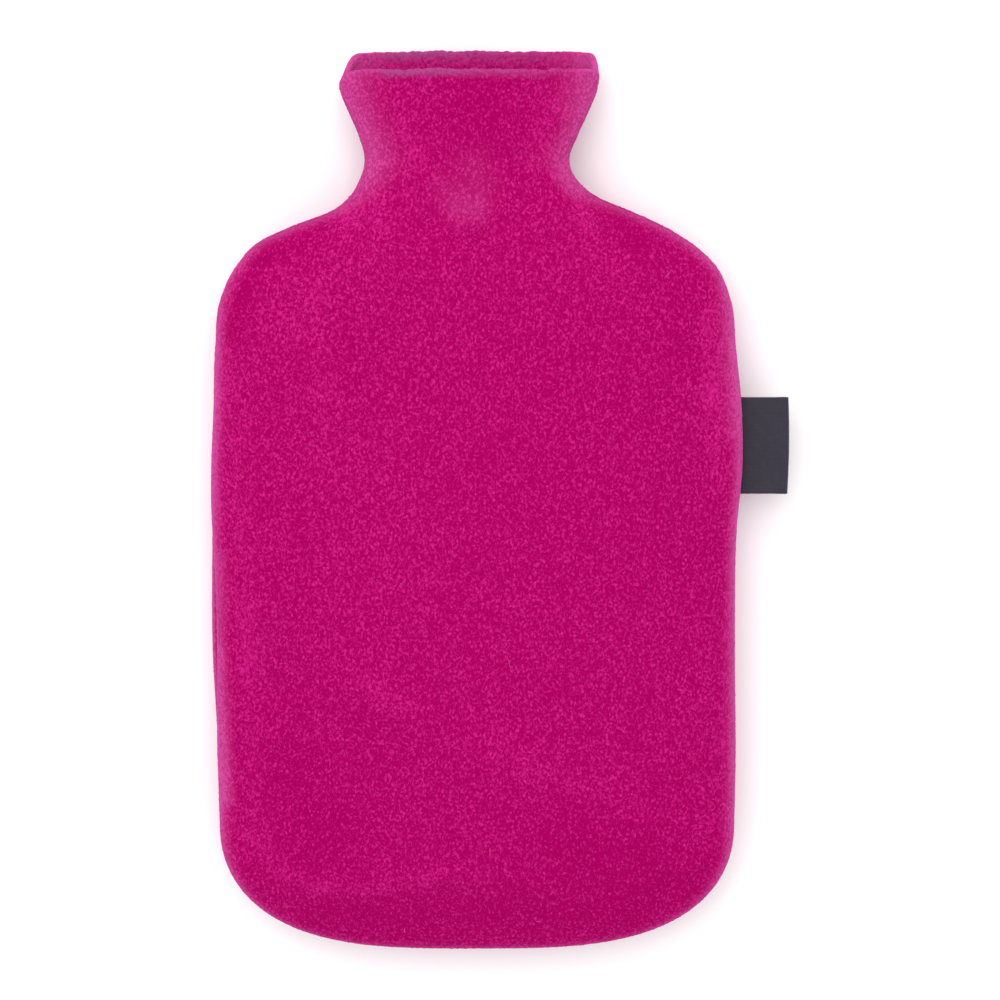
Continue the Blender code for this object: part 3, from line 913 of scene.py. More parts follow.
def seats_on(points, cloth, faces, random):
    """A place at random on each four-sided face, with the cloth's normal and the pile's height there: each
    is the sum of its corners' values by the products of two random shares and their rests."""
    u, v = random.uniform(size=(2, len(faces), 1))
    shares = np.stack([(1 - u) * (1 - v), u * (1 - v), u * v, (1 - u) * v], axis=1)
    places, normals = ((values[faces] * shares).sum(axis=1) for values in (points, cloth.normals))
    relief = (cloth.relief[faces] * shares[:, :, 0]).sum(axis=1)
    return places, normals / np.linalg.norm(normals, axis=1, keepdims=True), relief


def outer_seats(cloth, random):
    """Places for curls on the outer side, where it shows."""
    hidden = (ALLOWANCE_STEPS + TURN_STEPS // 3) * (cloth.rim.shape[1] - 1)
    return seats_on(cloth.points, cloth, cloth.faces[hidden:], random)


def inner_seats(cloth, reach, random):
    """Places for curls on the inner side near the mouth, which shows behind the front lip."""
    places, normals, relief = seats_on(cloth.smooth, cloth, cloth.faces, random)
    near = (places[:, 1] > reach) & (np.abs(normals[:, 2]) > INNER_STEEPEST)
    return (places - CLOTH * normals)[near], -normals[near], relief[near]


def curls(name, panel, seats, settings, material, random):
    """A crowd of curls, each a flat tube with pointed, sunk ends, bent sideways to an arc and upwards to a
    bow.

    With s from -1 to 1 along a curl, its middle line lies half its length times s along the cloth, its bend
    times s squared less a middle value to the side, and its rise times 1 - s squared above the seat, less
    its sinking.
    """
    places, normals, relief = seats
    count = len(places)
    along, across = tangents(normals, random.normal(0, settings.curl_turn, count))
    size = np.exp(random.normal(0, CURL_SPREAD, count))
    half = settings.curl_length / 2 * size * random.uniform(*CURL_LENGTHS, count)
    bend = half * random.uniform(-CURL_BEND, CURL_BEND, count)
    rise = settings.curl_rise * (RISE_IN_GAPS + RISE_BY_RELIEF * relief) * random.uniform(*CURL_RISES, count)
    flatten = 1 - PALE_AND_SHEEN_FLATTENS * pale_and_sheen(places)
    pressed = np.clip(places[:, 2] / PRESSED_HEIGHT, PRESSED_PILE, 1)
    steep = STEEP_CURLS + (1 - STEEP_CURLS) * np.abs(normals[:, 2])
    rise = rise * flatten * pressed * steep
    s = CURL_STATIONS[None, :, None]
    lift = rise[:, None, None] * (1 - s * s) - CURL_SINK
    path = places[:, None] + half[:, None, None] * s * along[:, None]
    path = path + bend[:, None, None] * (s * s - BEND_MIDDLE) * across[:, None] + lift * normals[:, None]
    thick = settings.curl_radius * size * random.uniform(*CURL_WIDTHS, count)
    flatness = CURL_FLATNESS * (LEAST_HEIGHT + (1 - LEAST_HEIGHT) * flatten * steep)
    shape = np.stack([thick, thick * flatness], axis=-1)[:, None]
    rings = len(CURL_STATIONS) - 2
    points, groups, each = tubes(path, np.repeat(shape, rings, axis=1), across, normals, CURL_SIDES)
    points[:, 2] = np.maximum(points[:, 2], FLOOR_CLEARANCE)
    ringed = rings * CURL_SIDES
    # A curl's crest is painted lighter than its foot: partly its own paler tip, partly painted light on its
    # top.
    crest = np.zeros(each)
    crest[:ringed:CURL_SIDES] = 1
    inner = normals[:, 2] * panel.up < 0
    foot = CLOTH_TONE * relief[:, None]
    tone = foot + (random.uniform(*CURL_SHADES, count)[:, None] - foot) * crest
    # Curls inside the mouth are painted lighter: painted light where the inside lies in shade.
    painted_light = np.where(inner & (places[:, 1] > INNER_CURLS_START), INNER_PAINTED_LIGHT, 0)
    attributes = {
        "pile": tone + (painted_light + painted_shading(places))[:, None],
        "pale_and_sheen": np.repeat(pale_and_sheen(places), each),
        "cut": np.repeat(lip_sheen_and_shade(panel, places), each),
    }
    piece = new_piece(name, points, groups, material, attributes)
    turn_outwards(piece)
    side = np.zeros(each)
    side[1:ringed:CURL_SIDES] = -CURL_TURN_SHADING
    side[2:ringed:CURL_SIDES] = CURL_TURN_SHADING
    looks = normals[:, None] + side[None, :, None] * across[:, None]
    soften(piece, looks.reshape(-1, 3))
    return piece


CURL_SPREAD = 0.16
CURL_LENGTHS = (0.75, 1.3)
CURL_RISES = (0.7, 1.3)
CURL_WIDTHS = (0.8, 1.25)
CURL_BEND, BEND_MIDDLE = 0.75, 0.4
RISE_IN_GAPS, RISE_BY_RELIEF = 0.45, 0.9
LEAST_HEIGHT = 0.5
CURL_SINK = 0.12 * MM
CURL_FLATNESS = 0.5
CURL_SHADES = (0.53, 0.71)
CURL_TURN_SHADING = 0.3
STEEP_CURLS = 0.55
INNER_CURLS_START = 140.0 * MM
# How much lighter the inner curls are painted: painted light in the mouth's shade.
INNER_PAINTED_LIGHT = 0.4
INNER_STEEPEST = 0.4
SPLIT_HEIGHT = 0.0


# ---- Shader groups and materials ----


def give(tree, socket, value):
    """Joins an output socket to this input, or sets the input's value."""
    if isinstance(value, bpy.types.NodeSocket):
        tree.links.new(value, socket)
    else:
        socket.default_value = value


def linked(tree, kind, inputs, **settings):
    """A new node with its settings, and each input joined to an output socket or set to a value."""
    node = tree.nodes.new(kind)
    for name, value in settings.items():
        setattr(node, name, value)
    for key, value in inputs.items():
        give(tree, node.inputs[key], value)
    return node


def mixed(tree, share, low, high):
    """The output of a colour mix of two colours by a share."""
    node = linked(tree, "ShaderNodeMix", {"Factor": share}, data_type="RGBA")
    colours = [socket for socket in node.inputs if socket.type == "RGBA"]
    for socket, value in zip(colours, (low, high)):
        give(tree, socket, value)
    return next(socket for socket in node.outputs if socket.type == "RGBA")


def maths(tree, operation, first, second, clamp=False):
    """The output of a maths node on one or two values."""
    node = linked(tree, "ShaderNodeMath", {0: first, 1: second}, operation=operation, use_clamp=clamp)
    return node.outputs[0]


def new_group(name, inputs):
    """A new node group and its inside inputs: each is a name, a kind and a value or none. It gives a Color
    and a Height."""
    tree = bpy.data.node_groups.new(name, "ShaderNodeTree")
    outputs = (("Color", "NodeSocketColor", None), ("Height", "NodeSocketFloat", None))
    for direction, sockets in (("INPUT", inputs), ("OUTPUT", outputs)):
        for label, kind, value in sockets:
            socket = tree.interface.new_socket(name=label, in_out=direction, socket_type=kind)
            if value is not None:
                socket.default_value = value
    return tree, tree.nodes.new("NodeGroupInput").outputs


def hairs(tree, field, level):
    """Thin lines where a field crosses a level: 1 less the distance from the level times their thinness."""
    away = maths(tree, "ABSOLUTE", maths(tree, "SUBTRACT", field, level), 0.0)
    return maths(tree, "SUBTRACT", 1.0, maths(tree, "MULTIPLY", away, WORM_THINNESS), clamp=True)


def pile_group():
    """Shades of curly pile: from the gaps' colour to the tips' by the pile's height, the darker gaps partly
    painted shade and the lighter tips partly painted light, by thin winding hairs, which lie where a soft
    noise crosses its middle, less thin shadows beside them, where it crosses a lower level, by specks round
    random points, and by a grain. The shade turns to a pale colour by the pale and sheen share, which paints
    sheen along the rim, and greyer at the mouth's edge, painted sheen and shade, both more on the tips than
    in the gaps. The hairs, specks and grain give a height too."""
    tree, inside = new_group("pile shades", PILE_INPUTS)
    calc = functools.partial(maths, tree)
    place = linked(tree, "ShaderNodeVectorMath", {0: inside["Vector"], 1: TUFT_SQUEEZE}, operation="MULTIPLY")
    place, scale = place.outputs[0], inside["Tuft Scale"]
    noise = {"Vector": place, "Scale": scale, "Detail": 0.0, "Distortion": WORM_BENDING}
    field = linked(tree, "ShaderNodeTexNoise", noise).outputs["Fac"]
    worm, shadow = (hairs(tree, field, level) for level in (WORM_LEVEL, SHADOW_LEVEL))
    worm = calc("MULTIPLY", worm, WORM_SHARE)
    nearest = linked(tree, "ShaderNodeTexVoronoi", {"Vector": place, "Scale": scale})
    fall = calc("MULTIPLY", nearest.outputs["Distance"], 1 / SPECK_REACH)
    speck = calc("SUBTRACT", 1.0, fall, clamp=True)
    noise = {"Vector": place, "Scale": calc("MULTIPLY", scale, GRAIN_FINENESS), "Detail": 1.0}
    grain = calc("SUBTRACT", linked(tree, "ShaderNodeTexNoise", noise).outputs["Fac"], 0.5)
    drawn = calc("SUBTRACT", calc("ADD", worm, speck), WORM_MEAN)
    drawn = calc("SUBTRACT", drawn, calc("MULTIPLY", shadow, SHADOW_SHARE))
    drawn = calc("MULTIPLY", drawn, inside["Tuft Contrast"])
    grained = calc("MULTIPLY", grain, inside["Grain Contrast"])
    share = calc("ADD", calc("ADD", inside["Pile"], drawn), grained, clamp=True)
    shade = mixed(tree, share, inside["Gap"], inside["Tip"])
    kept = calc("ADD", calc("MULTIPLY", share, PALE_BY_SHARE), PALE_IN_GAPS, clamp=True)
    painted = mixed(tree, calc("MULTIPLY", inside["Pale And Sheen"], kept), shade, inside["Pale And Sheen Colour"])
    painted = mixed(tree, calc("MULTIPLY", inside["Lip Sheen"], kept), painted, inside["Lip Sheen Colour"])
    height = calc("ADD", worm, calc("ADD", speck, grain))
    linked(tree, "NodeGroupOutput", {"Color": painted, "Height": height})
    return tree


PILE_INPUTS = (
    ("Vector", "NodeSocketVector", None),
    ("Pile", "NodeSocketFloat", 0.5),
    ("Pale And Sheen", "NodeSocketFloat", 0.0),
    ("Lip Sheen", "NodeSocketFloat", 0.0),
    ("Gap", "NodeSocketColor", (0.3, 0.0, 0.1, 1.0)),
    ("Tip", "NodeSocketColor", (0.6, 0.02, 0.2, 1.0)),
    ("Pale And Sheen Colour", "NodeSocketColor", (0.6, 0.1, 0.3, 1.0)),
    ("Lip Sheen Colour", "NodeSocketColor", (0.4, 0.05, 0.2, 1.0)),
    ("Tuft Scale", "NodeSocketFloat", 500.0),
    ("Tuft Contrast", "NodeSocketFloat", 0.5),
    ("Grain Contrast", "NodeSocketFloat", 0.5),
)
TUFT_SQUEEZE = (1.15, 0.87, 1.0)
WORM_LEVEL, WORM_THINNESS, WORM_BENDING = 0.5, 9.0, 0.4
GRAIN_FINENESS = 1.9
SPECK_REACH = 0.5
WORM_SHARE = 0.45
WORM_MEAN = 0.17
SHADOW_LEVEL, SHADOW_SHARE = 0.38, 0.4
PALE_IN_GAPS = 0.5
PALE_BY_SHARE = 1.3


def weave_group():
    """A fine ribbed weave: a shade and a height from ribs along the ribbon crossed by finer threads, with a
    soft unevenness."""
    tree, inside = new_group("ribbed weave", WEAVE_INPUTS)
    calc = functools.partial(maths, tree)
    turns = calc("DIVIDE", 2 * math.pi, inside["Rib Pitch"])
    split = linked(tree, "ShaderNodeSeparateXYZ", {"Vector": inside["Vector"]}).outputs
    ribs = calc("SINE", calc("MULTIPLY", split["Y"], turns), 0.0)
    threads = calc("SINE", calc("MULTIPLY", split["X"], calc("MULTIPLY", turns, THREADS_PER_RIB)), 0.0)
    crossed = calc("MULTIPLY", threads, ribs)
    height = calc("ADD", calc("MULTIPLY", ribs, RIB_SHARE), calc("MULTIPLY", crossed, CROSSED_SHARE))
    noise = {"Vector": inside["Vector"], "Scale": UNEVEN_SCALE, "Detail": 2.0}
    uneven = linked(tree, "ShaderNodeTexNoise", noise)
    share = calc("ADD", height, uneven.outputs["Fac"], clamp=True)
    shade = mixed(tree, share, inside["Shadow"], inside["Thread"])
    linked(tree, "NodeGroupOutput", {"Color": shade, "Height": height})
    return tree


WEAVE_INPUTS = (
    ("Vector", "NodeSocketVector", None),
    ("Thread", "NodeSocketColor", (0.05, 0.04, 0.06, 1.0)),
    ("Shadow", "NodeSocketColor", (0.02, 0.02, 0.03, 1.0)),
    ("Rib Pitch", "NodeSocketFloat", 0.00045),
)
THREADS_PER_RIB = 1.7
RIB_SHARE, CROSSED_SHARE = 0.35, 0.15
UNEVEN_SCALE = 420.0


def shared_group(name, make):
    """The node group of this name, made if there is none yet."""
    return bpy.data.node_groups.get(name) or make()


def bare_material(
    name, roughness, sheen=0.0, sheen_roughness=0.5, sheen_tint=(1.0, 1.0, 1.0, 1.0), specular=0.0
):
    """A new material with a Principled shader, its constants on the shader's own sockets."""
    material = bpy.data.materials.new(name)
    material.use_nodes = True
    shader = material.node_tree.nodes["Principled BSDF"]
    for socket, value in (
        ("Roughness", roughness),
        ("Specular IOR Level", specular),
        ("Sheen Weight", sheen),
        ("Sheen Roughness", sheen_roughness),
        ("Sheen Tint", sheen_tint),
    ):
        shader.inputs[socket].default_value = value
    return material, shader


def attribute(tree, name):
    """The output of a number that the mesh carries on its points."""
    node = linked(tree, "ShaderNodeAttribute", {}, attribute_name=name, attribute_type="GEOMETRY")
    return node.outputs["Fac"]


def object_place(tree):
    """The output of the place in the object's own coordinates."""
    return linked(tree, "ShaderNodeTexCoord", {}).outputs["Object"]


def add_bump(tree, shader, height, distance, strength):
    """Lets a height tilt the shader's normal."""
    bump = linked(tree, "ShaderNodeBump", {"Height": height, "Distance": distance, "Strength": strength})
    tree.links.new(bump.outputs["Normal"], shader.inputs["Normal"])


def fleece_material(name, settings, tuft, grain, bump):
    """Curly fleece: shades by the pile's height, with painted light, shade and sheen, a pale sheen at grazing
    angles, and fine fibres as bump."""
    material, shader = bare_material(
        name, 1.0, settings.sheen, settings.sheen_roughness, settings.sheen_tint, settings.gloss
    )
    tree = material.node_tree
    inputs = {
        "Vector": object_place(tree),
        "Pile": attribute(tree, "pile"),
        "Pale And Sheen": attribute(tree, "pale_and_sheen"),
        "Lip Sheen": attribute(tree, "cut"),
        "Gap": settings.gap_colour_and_shade,
        "Tip": settings.tip_colour_and_light,
        "Pale And Sheen Colour": settings.pale_and_sheen_colour,
        "Lip Sheen Colour": settings.lip_sheen_colour,
        "Tuft Scale": 1 / settings.grain_size,
        "Tuft Contrast": tuft,
        "Grain Contrast": grain,
    }
    shades = linked(tree, "ShaderNodeGroup", inputs, node_tree=shared_group("pile shades", pile_group))
    tree.links.new(shades.outputs["Color"], shader.inputs["Base Color"])
    add_bump(tree, shader, shades.outputs["Height"], settings.fibre_depth, bump)
    return material


# ---- Sizes and colours that a user would change ----


def length_property(name, description, default):
    return bpy.props.FloatProperty(
        name=name, description=description, default=default, min=0.0, precision=5, unit="LENGTH"
    )


def colour_property(name, description, default):
    return bpy.props.FloatVectorProperty(
        name=name, description=description, default=default, size=4, subtype="COLOR", min=0.0, max=1.0
    )


def angle_property(name, description, degrees):
    return bpy.props.FloatProperty(
        name=name, description=description, default=math.radians(degrees), subtype="ANGLE"
    )


def share_property(name, description, default):
    return bpy.props.FloatProperty(name=name, description=description, default=default, min=0.0, max=1.0)


class FleeceSettings(bpy.types.PropertyGroup):
    """Sizes and colours of the fleece."""

    tuft_width: length_property("Tuft width", "Size of a tuft across the cover", 2.3 * MM)
    tuft_length: length_property("Tuft length", "Size of a tuft up the cover", 3.4 * MM)
    tuft_height: length_property("Tuft height", "From the gaps to the tops of the tufts", 0.3 * MM)
    curl_spacing: length_property("Curl spacing", "One curl in each square or cube of this size", 1.67 * MM)
    curl_length: length_property("Curl length", "Length of a curl", 2.15 * MM)
    curl_radius: length_property("Curl radius", "Half the width of a curl", 0.39 * MM)
    curl_rise: length_property("Curl rise", "How far a curl's middle stands above the cloth", 0.2 * MM)
    curl_turn: angle_property(
        "Curl turn", "How far curls turn from the way up the cloth, as the spread of a bell", 38
    )
    # The tips' lighter colour and the gaps' darker colour are partly the pile's own shades, partly painted
    # light on the tops and painted shade down between them.
    tip_colour_and_light: colour_property("Tip colour", "Colour on top of the tufts", (0.562, 0.0158, 0.213, 1.0))
    gap_colour_and_shade: colour_property("Gap colour", "Colour down between the tufts", (0.317, 0.0001, 0.086, 1.0))
    # The pale and sheen colour is that of the pale patches, and the painted sheen along the rim.
    pale_and_sheen_colour: colour_property("Faded colour", "Colour where the pile is worn", (0.53, 0.066, 0.284, 1.0))
    # The mouth's edge colour is painted sheen and shade of the rounded edge.
    lip_sheen_colour: colour_property("Cut colour", "Colour of the mouth's cut edge", (0.315, 0.050, 0.19, 1.0))
    grain_size: length_property("Grain size", "Distance between the small tufts", 1.65 * MM)
    fibre_depth: length_property("Fibre depth", "Depth of the small tufts", 0.35 * MM)
    sheen: share_property("Sheen", "Weight of the pale velvet sheen", 0.2)
    sheen_roughness: share_property("Sheen roughness", "How far the sheen spreads from grazing angles", 0.3)
    sheen_tint: colour_property("Sheen tint", "Colour of the sheen", (1.0, 0.28, 0.80, 1.0))
    gloss: share_property("Gloss", "Specular level of the pile", 0.01)


class TrimSettings(bpy.types.PropertyGroup):
    """Sizes and colours of the ribbon, the stitches and the loose fibres."""

    ribbon_thickness: length_property("Ribbon thickness", "Thickness of one layer of ribbon", 0.45 * MM)
    rib_pitch: length_property("Rib pitch", "Distance between the ribbon's ribs", 0.5 * MM)
    ribbon_colour: colour_property(
        "Ribbon colour", "Colour of the ribbon's threads", (0.030, 0.025, 0.040, 1.0)
    )
    ribbon_shadow: colour_property("Ribbon shadow", "Colour between the threads", (0.018, 0.015, 0.025, 1.0))
    stitch_pitch: length_property("Stitch pitch", "Distance between the seam's stitches", 3.0 * MM)
    thread_radius: length_property("Thread radius", "Half the thickness of the sewing thread", 0.16 * MM)
    thread_colour: colour_property("Thread colour", "Colour of the sewing thread", (0.36, 0.006, 0.12, 1.0))
    fibre_count: bpy.props.IntProperty(
        name="Loose fibres", description="How many loose fibres lie on the pile", default=6, min=0
    )
    fibre_radius: length_property("Fibre radius", "Half the thickness of a loose fibre", 0.09 * MM)
    fibre_colour: colour_property("Fibre colour", "Colour of the loose fibres", (0.86, 0.09, 0.40, 1.0))


class StudioSettings(bpy.types.PropertyGroup):
    """The camera, the floor and the light."""

    camera_tilt: angle_property(
        "Camera tilt", "How far the camera leans towards the mouth from straight above", 10
    )
    camera_distance: length_property("Camera distance", "From the camera to what it looks at", 1.6)
    view_width: length_property("View width", "Width of the picture at that distance", 0.3774)
    aim: bpy.props.FloatVectorProperty(
        name="Aim",
        description="The point that the camera looks at",
        default=(0.0100, 0.0021, 0.022),
        subtype="XYZ",
    )
    floor_colour: colour_property("Floor colour", "Colour of the floor", (0.95, 0.95, 0.95, 1.0))
    sky: bpy.props.FloatProperty(name="Sky", description="Strength of the even light all round", default=1.05)
    lamp_power: bpy.props.FloatProperty(
        name="Lamp power", description="Power of the large soft lamp", default=20.0, unit="POWER"
    )


# ---- Operators ----


def sheet_of(panel, settings):
    """The panel laid out with the user's sizes, each panel with a seed of its own."""
    seed = CURL_SEED + (0 if panel.up > 0 else BACK_SEED)
    return laid_out(panel, settings.tuft_width, settings.tuft_length, settings.tuft_height, seed)


def halves(seats, level):
    """The seats above and below a height up the cover."""
    upper = seats[0][:, 1] > level
    return [tuple(part[keep] for part in seats) for keep in (upper, ~upper)]


def chosen(seats, cell, random):
    """The seats that lie evenly spread, one for each lattice cell."""
    keep = spread_out(seats[0], cell, random)
    return tuple(part[keep] for part in seats)


def joined(first, second):
    """Two sets of seats as one."""
    return tuple(np.concatenate(pair) for pair in zip(first, second))


class COVER_OT_fleece(bpy.types.Operator):
    """Makes the two panels of fleece, in place of their solids"""

    bl_idname = "cover.fleece"
    bl_label = "Fleece panels"

    def execute(self, context):
        settings = context.scene.cover_fleece
        material = fleece_material("curly fleece", settings, tuft=0.95, grain=0.85, bump=0.6)
        for panel, flat, area in ((FRONT, FRONT_FLAT, FRONT_AREA), (BACK, BACK_FLAT, BACK_AREA)):
            piece = fleece_panel(panel, sheet_of(panel, settings), material)
            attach(piece, "root")
            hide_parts(panel.node)
        return {"FINISHED"}


FRONT_FLAT, FRONT_AREA = (0.237, 0.356), 0.0732
BACK_FLAT, BACK_AREA = (0.237, 0.362), 0.0744


class COVER_OT_curls(bpy.types.Operator):
    """Makes the curls of pile that stand on the fleece"""

    bl_idname = "cover.curls"
    bl_label = "Fleece curls"

    def execute(self, context):
        settings = context.scene.cover_fleece
        material = fleece_material("fleece curls", settings, tuft=0.8, grain=0.85, bump=0.4)
        for panel, name in ((FRONT, "front_curls"), (BACK, "back_curls")):
            random = np.random.default_rng(CURL_SEED + panel.up)
            cloth = sheet_of(panel, settings)
            spacing = settings.curl_spacing * (1 if panel is FRONT else BACK_SPACING)
            seats = chosen(outer_seats(cloth, random), spacing, random)
            seats = joined(seats, chosen(inner_seats(cloth, INNER_CURLS_START, random), spacing, random))
            for part, where in zip(halves(seats, SPLIT_HEIGHT), ("upper", "lower")):
                piece = curls(f"{name}_{where}", panel, part, settings, material, random)
                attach(piece, "root")
        return {"FINISHED"}


BACK_SPACING = 1.2
BACK_SEED = 100


class COVER_OT_ribbon(bpy.types.Operator):
    """Makes the bare folded ribbon in the side seam, in place of its solid"""

    bl_idname = "cover.ribbon"
    bl_label = "Ribbon"

    def execute(self, context):
        settings = context.scene.cover_trim
        material, shader = bare_material(
            "charcoal ribbon", 0.62, sheen=0.15, sheen_roughness=0.4, sheen_tint=RIBBON_SHEEN, specular=0.25
        )
        tree = material.node_tree
        inputs = {
            "Vector": object_place(tree),
            "Thread": settings.ribbon_colour,
            "Shadow": settings.ribbon_shadow,
            "Rib Pitch": settings.rib_pitch,
        }
        weave = linked(tree, "ShaderNodeGroup", inputs, node_tree=shared_group("ribbed weave", weave_group))
        tree.links.new(weave.outputs["Color"], shader.inputs["Base Color"])
        add_bump(tree, shader, weave.outputs["Height"], RIB_DEPTH, strength=0.4)
        points, faces = ribbon_surface(settings.ribbon_thickness)
        piece = new_piece("ribbon", points, [faces], material, {})
        turn_outwards(piece)
        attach(piece, "root")
        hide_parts("side_label")
        return {"FINISHED"}


RIBBON_SHEEN = (0.8, 0.8, 1.0, 1.0)
RIB_DEPTH = 0.06 * MM
RIBBON_RUN_STEPS = 46
RIBBON_TURN_STEPS = 14
RIBBON_ALONG_STEPS = 60
RIBBON_BULGE = 0.45 * MM
RIBBON_WAVE = 0.12 * MM
RIBBON_WAVE_START = 0.35
RIBBON_LOOP_REACH = 5.0 * MM
RIBBON_REST_GAP = 0.15 * MM


def ribbon_surface(thickness):
    """The ribbon as a closed grid: its section, a strip folded back on itself, carried along its length.

    The section's middle line runs out from the seam, round a half circle at the fold and back. It lies
    close to the other layer in the seam and opens to the loop's radius towards the fold. Along the length
    the fold bulges outwards by a parabola, and both layers wave softly.
    """
    radius = (LABEL_LAYER + LABEL_LOOP / 2) - thickness / 2
    close = RIBBON_REST_GAP + thickness / 2
    centre = LABEL_FOLD_X - radius - thickness / 2
    run = np.linspace(LABEL_END_X, centre, RIBBON_RUN_STEPS + 1)[:-1]
    opened = close + (radius - close) * eased(np.clip(1 - (centre - run) / RIBBON_LOOP_REACH, 0, 1))
    angle = np.linspace(math.pi / 2, -math.pi / 2, RIBBON_TURN_STEPS + 1)
    x = np.concatenate([run, centre + radius * np.cos(angle), run[::-1]])
    z = np.concatenate([opened, radius * np.sin(angle), -opened[::-1]])
    ahead = np.stack([np.gradient(x), np.gradient(z)], axis=1)
    ahead /= np.linalg.norm(ahead, axis=1, keepdims=True)
    left = np.stack([-ahead[:, 1], ahead[:, 0]], axis=1) * thickness / 2
    line = np.stack([x, z], axis=1)
    section = np.concatenate([line + left, (line - left)[::-1]])
    v = np.linspace(-1, 1, RIBBON_ALONG_STEPS + 1)[:, None]
    out = np.clip((section[None, :, 0] - LABEL_END_X) / (LABEL_FOLD_X - LABEL_END_X), 0, 1)
    plan_x = section[None, :, 0] + RIBBON_BULGE * (out * (1 - v * v) - out)
    plan_y = LABEL_MIDDLE + v * LABEL_LENGTH / 2
    height = SEAM_HEIGHT + section[None, :, 1] + RIBBON_WAVE * out * np.sin(math.pi * (v + RIBBON_WAVE_START))
    grid = np.stack(np.broadcast_arrays(plan_x, plan_y, height), axis=-1)
    rows, columns = grid.shape[:2]
    index = np.arange(rows * columns).reshape(rows, columns)
    index = np.concatenate([index, index[:, :1]], axis=1)
    half = columns // 2
    ends = [grid_faces(np.stack([row[:half], row[half:columns][::-1]])) for row in (index[0], index[-1])]
    return grid.reshape(-1, 3), np.concatenate([grid_faces(index), *ends])


class COVER_OT_stitches(bpy.types.Operator):
    """Makes the stitches that hold the two panels together, down in the seam's groove"""

    bl_idname = "cover.stitches"
    bl_label = "Seam stitches"

    def execute(self, context):
        settings = context.scene.cover_trim
        material, shader = bare_material(
            "sewing thread", 0.55, sheen=0.2, sheen_roughness=0.4, sheen_tint=THREAD_SHEEN, specular=0.3
        )
        tree = material.node_tree
        noise = {"Vector": object_place(tree), "Scale": THREAD_TWIST_SCALE}
        twist = linked(tree, "ShaderNodeTexNoise", noise)
        pale = [min(1.0, channel * THREAD_PALER) for channel in settings.thread_colour[:3]] + [1.0]
        colour = mixed(tree, twist.outputs["Fac"], tuple(settings.thread_colour), tuple(pale))
        tree.links.new(colour, shader.inputs["Base Color"])
        add_bump(tree, shader, twist.outputs["Fac"], THREAD_TWIST, strength=0.6)
        piece = stitch_row(settings, material)
        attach(piece, "root")
        return {"FINISHED"}


THREAD_SHEEN = (1.0, 0.6, 0.8, 1.0)
THREAD_TWIST = 0.05 * MM
THREAD_TWIST_SCALE = 2600.0
THREAD_PALER = 1.5
STITCH_INSET = 2.6 * MM
STITCH_BITE = 0.9 * MM
STITCH_BULGE = 0.35 * MM
STITCH_POINTS = 6
STITCH_SIDES = 6


def stitch_row(settings, material):
    """Short stitches across the seam's gap, at even steps along the seam: each is a thin tube along half a
    sine that bulges outwards between the panels, with its ends in the cloth."""
    line = seam_line()
    length = np.concatenate([[0], np.cumsum(np.hypot(*np.diff(line, axis=0).T))])
    at = np.arange(settings.stitch_pitch, length[-1] - settings.stitch_pitch, settings.stitch_pitch)
    plan = np.stack([np.interp(at, length, line[:, i]) for i in (0, 1)], axis=1)
    ahead = np.stack([np.interp(at, length, np.gradient(line[:, i], length)) for i in (0, 1)], axis=1)
    ahead /= np.linalg.norm(ahead, axis=1, keepdims=True)
    outwards = np.stack([ahead[:, 1], -ahead[:, 0]], axis=1)
    plan = plan - STITCH_INSET * outwards
    beside_label = label_spread(plan[:, 0], plan[:, 1]) > 0
    plan, ahead, outwards = plan[~beside_label], ahead[~beside_label], outwards[~beside_label]
    s = np.linspace(-1, 1, STITCH_POINTS)
    bulge = STITCH_BULGE * np.cos(s * math.pi / 2)
    path = np.zeros((len(plan), STITCH_POINTS, 3))
    path[:, :, :2] = plan[:, None] + bulge[None, :, None] * outwards[:, None]
    path[:, :, 2] = SEAM_HEIGHT + STITCH_BITE * s
    flat = np.column_stack([ahead, np.zeros(len(plan))])
    high = np.column_stack([outwards, np.zeros(len(plan))])
    radii = np.full((len(plan), STITCH_POINTS - 2, 2), settings.thread_radius)
    points, groups, _ = tubes(path, radii, flat, high, STITCH_SIDES)
    piece = new_piece("seam_stitches", points, groups, material, {})
    turn_outwards(piece)
    return piece


class COVER_OT_fibres(bpy.types.Operator):
    """Makes the few loose fibres that lie on the pile"""

    bl_idname = "cover.fibres"
    bl_label = "Loose fibres"

    def execute(self, context):
        settings = context.scene.cover_trim
        fleece = context.scene.cover_fleece
        material, shader = bare_material("loose fibre", 0.8, sheen=0.1, sheen_tint=THREAD_SHEEN, specular=0.1)
        shader.inputs["Base Color"].default_value = settings.fibre_colour
        random = np.random.default_rng(CURL_SEED)
        places, normals, _ = outer_seats(sheet_of(FRONT, fleece), random)
        picked = random.choice(np.flatnonzero(places[:, 1] < FIBRE_TOP), settings.fibre_count, replace=False)
        known = [np.argmin(np.hypot(places[:, 0] - x * MM, places[:, 1] - y * MM)) for x, y in SEEN_FIBRES]
        picked = np.concatenate([picked, known])
        piece = fibres(places[picked], normals[picked], settings.fibre_radius, material, random)
        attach(piece, "root")
        return {"FINISHED"}


SEEN_FIBRES = ((-86.0, 14.0), (13.0, -55.0), (-26.0, -26.0))
FIBRE_TOP = 140.0 * MM
FIBRE_POINTS = 9
FIBRE_SIDES = 3
FIBRE_LIFT = 0.75 * MM
FIBRE_HALVES = (0.9, 2.4)
FIBRE_SWAY, FIBRE_SWAY_TURN = 0.7, 0.8


